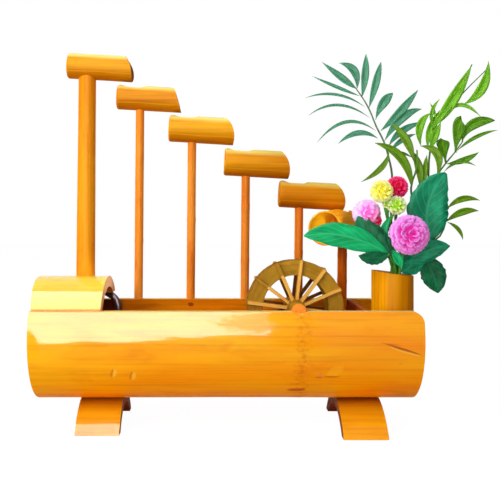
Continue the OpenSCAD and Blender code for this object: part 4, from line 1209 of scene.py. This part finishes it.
# The middle of each bloom, its radius, how many petals it has, their length, width and material.
blooms = dict(
    ball=((155, -44, 171), 18, 176, 10.5, 7.2, 0),
    pale=((121, -34, 189), 13, 84, 8, 5.6, 0),
    side=((128, -37, 182.5), 6, 26, 4.4, 4, 2),
    yellow=((133, -38, 208), 10.6, 76, 6.6, 4.4, 0),
    green=((146, -38, 196), 9, 54, 6.4, 3.6, 2),
    bud=((139, -37, 198), 5.6, 24, 4.2, 3.4, 2),
    crimson=((149.5, -24, 212), 10.4, 76, 6.4, 4.6, 0))


# A cupped petal with a notched, rounded tip.
def petal(bm, start, out, tangent, length, width, index):
    side = (tangent - out * tangent.dot(out)).normalized()
    back = side.cross(out).normalized()
    for v in clothGrid(bm, 4, 4, index):
        s, t = v.co.x * 2, v.co.y + 0.5
        half = width / 2 * (0.3 + 0.7 * sin(pi * (0.1 + 0.46 * t)))
        dent = 0.14 * t * t * max(0, 1 - abs(s) * 2.2)
        tipRound = 0.2 * t * t * s * s
        bend = 0.22 * width * s * s * t - 0.18 * length * t * t
        v.co = start + out * length * (t - dent - tipRound) + side * half * s - back * bend


# Petals set by the golden angle over a ball, shorter and more upright towards its face.
def flowerHead(bm, centre, radius, count, length, width, index, seed):
    random.seed(seed)
    heart = bmesh.ops.create_icosphere(bm, subdivisions=2, radius=radius * 0.62, matrix=moved(*centre))
    for face in {f for v in heart["verts"] for f in v.link_faces}:
        face.material_index = index
    turn = Vector((0, -1, 0.15)).normalized().to_track_quat("Z", "Y").to_matrix()
    for k in range(count):
        z = 1 - 1.82 * (k + 0.5) / count
        a = k * pi * (3 - sqrt(5))
        flat = sqrt(max(0, 1 - z * z))
        out = turn @ Vector((flat * cos(a), flat * sin(a), z))
        out = (out + Vector([random.uniform(-0.1, 0.1) for _ in range(3)])).normalized()
        grown = length * (0.78 + 0.22 * (1 - z) / 2) * random.uniform(0.9, 1.06)
        start = centre + out * (radius - grown) * 0.98
        ahead = (out + turn @ Vector((0, 0, -0.25 * (1 - z)))).normalized()
        tangent = turn @ Vector((-sin(a), cos(a), 0))
        broad = width * (0.58 + 0.42 * min(1, (1 - z) * 1.7)) * random.uniform(0.85, 1.1)
        petal(bm, start, ahead, tangent, grown, broad, index)


# Each bloom comes with the way of its stem. The first stem is the main one, and the others are thinner.
def buildFlower(name, node, slotName, mats, **stems):
    bm = bmesh.new()
    for k, (bloom, path) in enumerate(stems.items()):
        middle, radius, count, length, width, index = blooms[bloom]
        tubeAlong(bm, path + [middle], 1.0 if k else 1.3)
        flowerHead(bm, Vector(middle), radius, count, length, width, index, len(name) + count)
    finishPiece(name, bm, node, mats, body="bouquet", crease=60, thick=0.22)


def buildFlowers():
    buildFlower("ballBloom", "ball_flower", "petal_pink", ["ballPetal", "brightStem"],
                ball=rooted(150.6, -30.4) + [(150.2, -31, 142)])
    buildFlower("paleBloom", "pale_flower", "petal_pale", ["palePetal", "brightStem", "crimsonPetal"],
                pale=rooted(136.5, -21) + [(145, -25.6, 143)], side=[(124, -33, 180), (126, -35, 181)])
    buildFlower("yellowBloom", "yellow_flower", "petal_yellow", ["yellowPetal", "brightStem", "greenPetal"],
                yellow=rooted(140, -26) + [(147, -26.4, 148)], green=[(138, -27, 150), (139, -31, 172)],
                bud=[(139, -31, 172), (139, -34, 186)])
    buildFlower("crimsonBloom", "crimson_flower", "petal_crimson", ["crimsonPetal", "brightStem"],
                crimson=rooted(144.5, -18.5) + [(147.6, -21, 148)])


# Kept CAD pieces.

keptMaterials = dict(
    endWood=["left_bulkhead", "right_bulkhead", "vase_seat"],
    pegWood=["left_foot_pegs", "right_foot_pegs", "vase_peg"],
    hoseRubber=["hose"],
    pumpShell=["pump_housing"],
    pumpDark=["pump_volute", "pump_screen", "pump_rotor", "pump_gland"],
    pumpSteel=["pump_pin"],
    cupRubber=["pump_cups"],
    floristFoam=["foam"])


def dressKept():
    for mat, nodes in keptMaterials.items():
        for node in nodes:
            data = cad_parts[node].data
            data.materials.clear()
            data.materials.append(materials[mat])


# Stage, light and camera.

paper = dict(half=4, grey=0.8, glow=1.08, glowShare=0.9)
white = (1, 1, 1)


# 1 for rays that see the background, straight or mirrored, and 0 for those that carry its light.
def isBackground(tree):
    path = addNode(tree, "LightPath").outputs
    either = math(tree, "MAXIMUM", path["Is Camera Ray"], path["Is Glossy Ray"])
    return math(tree, "MAXIMUM", either, path["Is Transmission Ray"])


def buildStage():
    bm = bmesh.new()
    bmesh.ops.create_grid(bm, x_segments=1, y_segments=1, size=paper["half"])
    mesh = bpy.data.meshes.new("floor")
    bm.to_mesh(mesh)
    bm.free()
    floor = addObject("floor", mesh)
    material, tree, shader = startMaterial("floorPaper")
    shader.inputs["Base Color"].default_value = (paper["grey"], paper["grey"], paper["grey"], 1)
    shader.inputs["Roughness"].default_value = 0.9
    shader.inputs["Specular IOR Level"].default_value = 0.0
    glow = addNode(tree, "Emission", {"Color": (*white, 1), "Strength": paper["glow"]})
    share = times(tree, isBackground(tree), paper["glowShare"])
    both = addNode(tree, "MixShader", {0: share, 1: shader.outputs[0], 2: glow.outputs[0]})
    tree.links.new(both.outputs[0], tree.nodes["Material Output"].inputs["Surface"])
    mesh.materials.append(material)
    world = bpy.data.worlds.new("studio")
    bpy.context.scene.world = world
    world.use_nodes = True
    tree = world.node_tree
    ground = tree.nodes["Background"]
    ground.inputs["Color"].default_value = (*white, 1)
    tree.links.new(scaled(tree, isBackground(tree), 0.75, 0.25), ground.inputs["Strength"])


def addLamp(data, place, aim):
    lamp = addObject(data.name, data)
    lamp.location = place
    lamp.rotation_euler = (Vector(aim) - Vector(place)).to_track_quat("-Z", "Y").to_euler()
    return lamp


# A rectangular lamp, given by the brightness of its face. A glare is only seen mirrored, the others never.
def softbox(name, place, aim, width, height, radiance, glare=False, colour=white):
    data = bpy.data.lights.new(name, "AREA")
    data.shape = "RECTANGLE"
    data.size, data.size_y = width, height
    data.energy = radiance * width * height * pi
    data.color = colour
    lamp = addLamp(data, place, aim)
    lamp.visible_camera = False
    lamp.visible_diffuse = not glare
    lamp.visible_glossy = glare


# A narrow spot lamp that stands off by the given way from what it lights.
def snoot(name, aim, away, watts, width):
    data = bpy.data.lights.new(name, "SPOT")
    data.energy = watts
    data.spot_size = radians(width)
    data.spot_blend = 0.5
    data.shadow_soft_size = 0.01
    addLamp(data, aim + Vector(away), aim).visible_glossy = False


# The front glare is a sloping wall of light in three strips: left and right edge, and where each starts.
# Its top and its foot are given by Y and Z, in metres.
glareStrips = [(-0.66, -0.16, 0.0), (-0.16, -0.08, 0.06), (-0.08, 0.07, 0.12)]
glareTop, glareFoot = (-0.55, 1.4), (-1.22, 0)


def buildLights():
    for left, right, start in glareStrips:
        x = (left + right) / 2
        high = Vector((x, *glareTop))
        low = Vector((x, *glareFoot)).lerp(high, start)
        middle = (low + high) / 2
        facing = middle + (high - low).cross(Vector((1, 0, 0)))
        softbox("frontGlare", middle, facing, right - left, (high - low).length, 40, True, (1, 0.92, 0.97))
    softbox("lowGlare", (-0.41, -0.86, 0.002), (-0.41, -0.86, 1), 0.5, 0.68, 40, True, (1, 1, 0.88))
    softbox("key", (-1.05, -0.95, 0.85), (basinMiddle.x, basinMiddle.y, 0.12), 0.8, 0.9, 7.4)
    softbox("fill", (0.0, -1.2, 0.3), (0, 0, 0.15), 0.5, 0.5, 3.0)
    softbox("topGlare", (-0.22, -0.05, 1.3), (-0.22, -0.05, 0), 0.8, 0.75, 14, True)
    softbox("top", (-0.1, -0.2, 1.6), (0, 0, 0.15), 0.9, 0.7, 3.0)
    cupMouth = Vector((postX[5] - 12, landY - 18, 183))
    snoot("cupLight", toFrame @ cupMouth, (0.04, -0.66, 0.1), 16, 3.2)
    snoot("endLight", toFrame @ seen(110, 283, -6), (0.42, -0.5, 0.05), 9.5, 3.6)


def buildCamera():
    data = bpy.data.cameras.new("camera")
    data.sensor_width = 36
    data.lens = view["focal"] / view["pixels"] * data.sensor_width
    data.shift_x = 0.5 - view["u"] / view["pixels"]
    data.shift_y = view["v"] / view["pixels"] - 0.5
    data.clip_start = 0.01
    camera = addObject("camera", data)
    camera.location = view["eye"]
    camera.rotation_euler = (pi / 2, 0, 0)
    bpy.context.scene.camera = camera
    bpy.context.scene.view_settings.view_transform = "Standard"


buildBasin()
buildCover()
buildFoot("left_foot", -109.9, 46)
buildFoot("right_foot", 117.3, 52)
print("basin, cover and feet made")
buildPosts()
for i in range(len(spouts)):
    buildSpout(i)
buildCupSpout()
print("posts and spouts made")
buildWheel()
print("wheel made")
buildFlowerCup()
buildSprays()
buildFlowers()
print("flower cup and flowers made")
dressKept()
buildStage()
buildLights()
buildCamera()
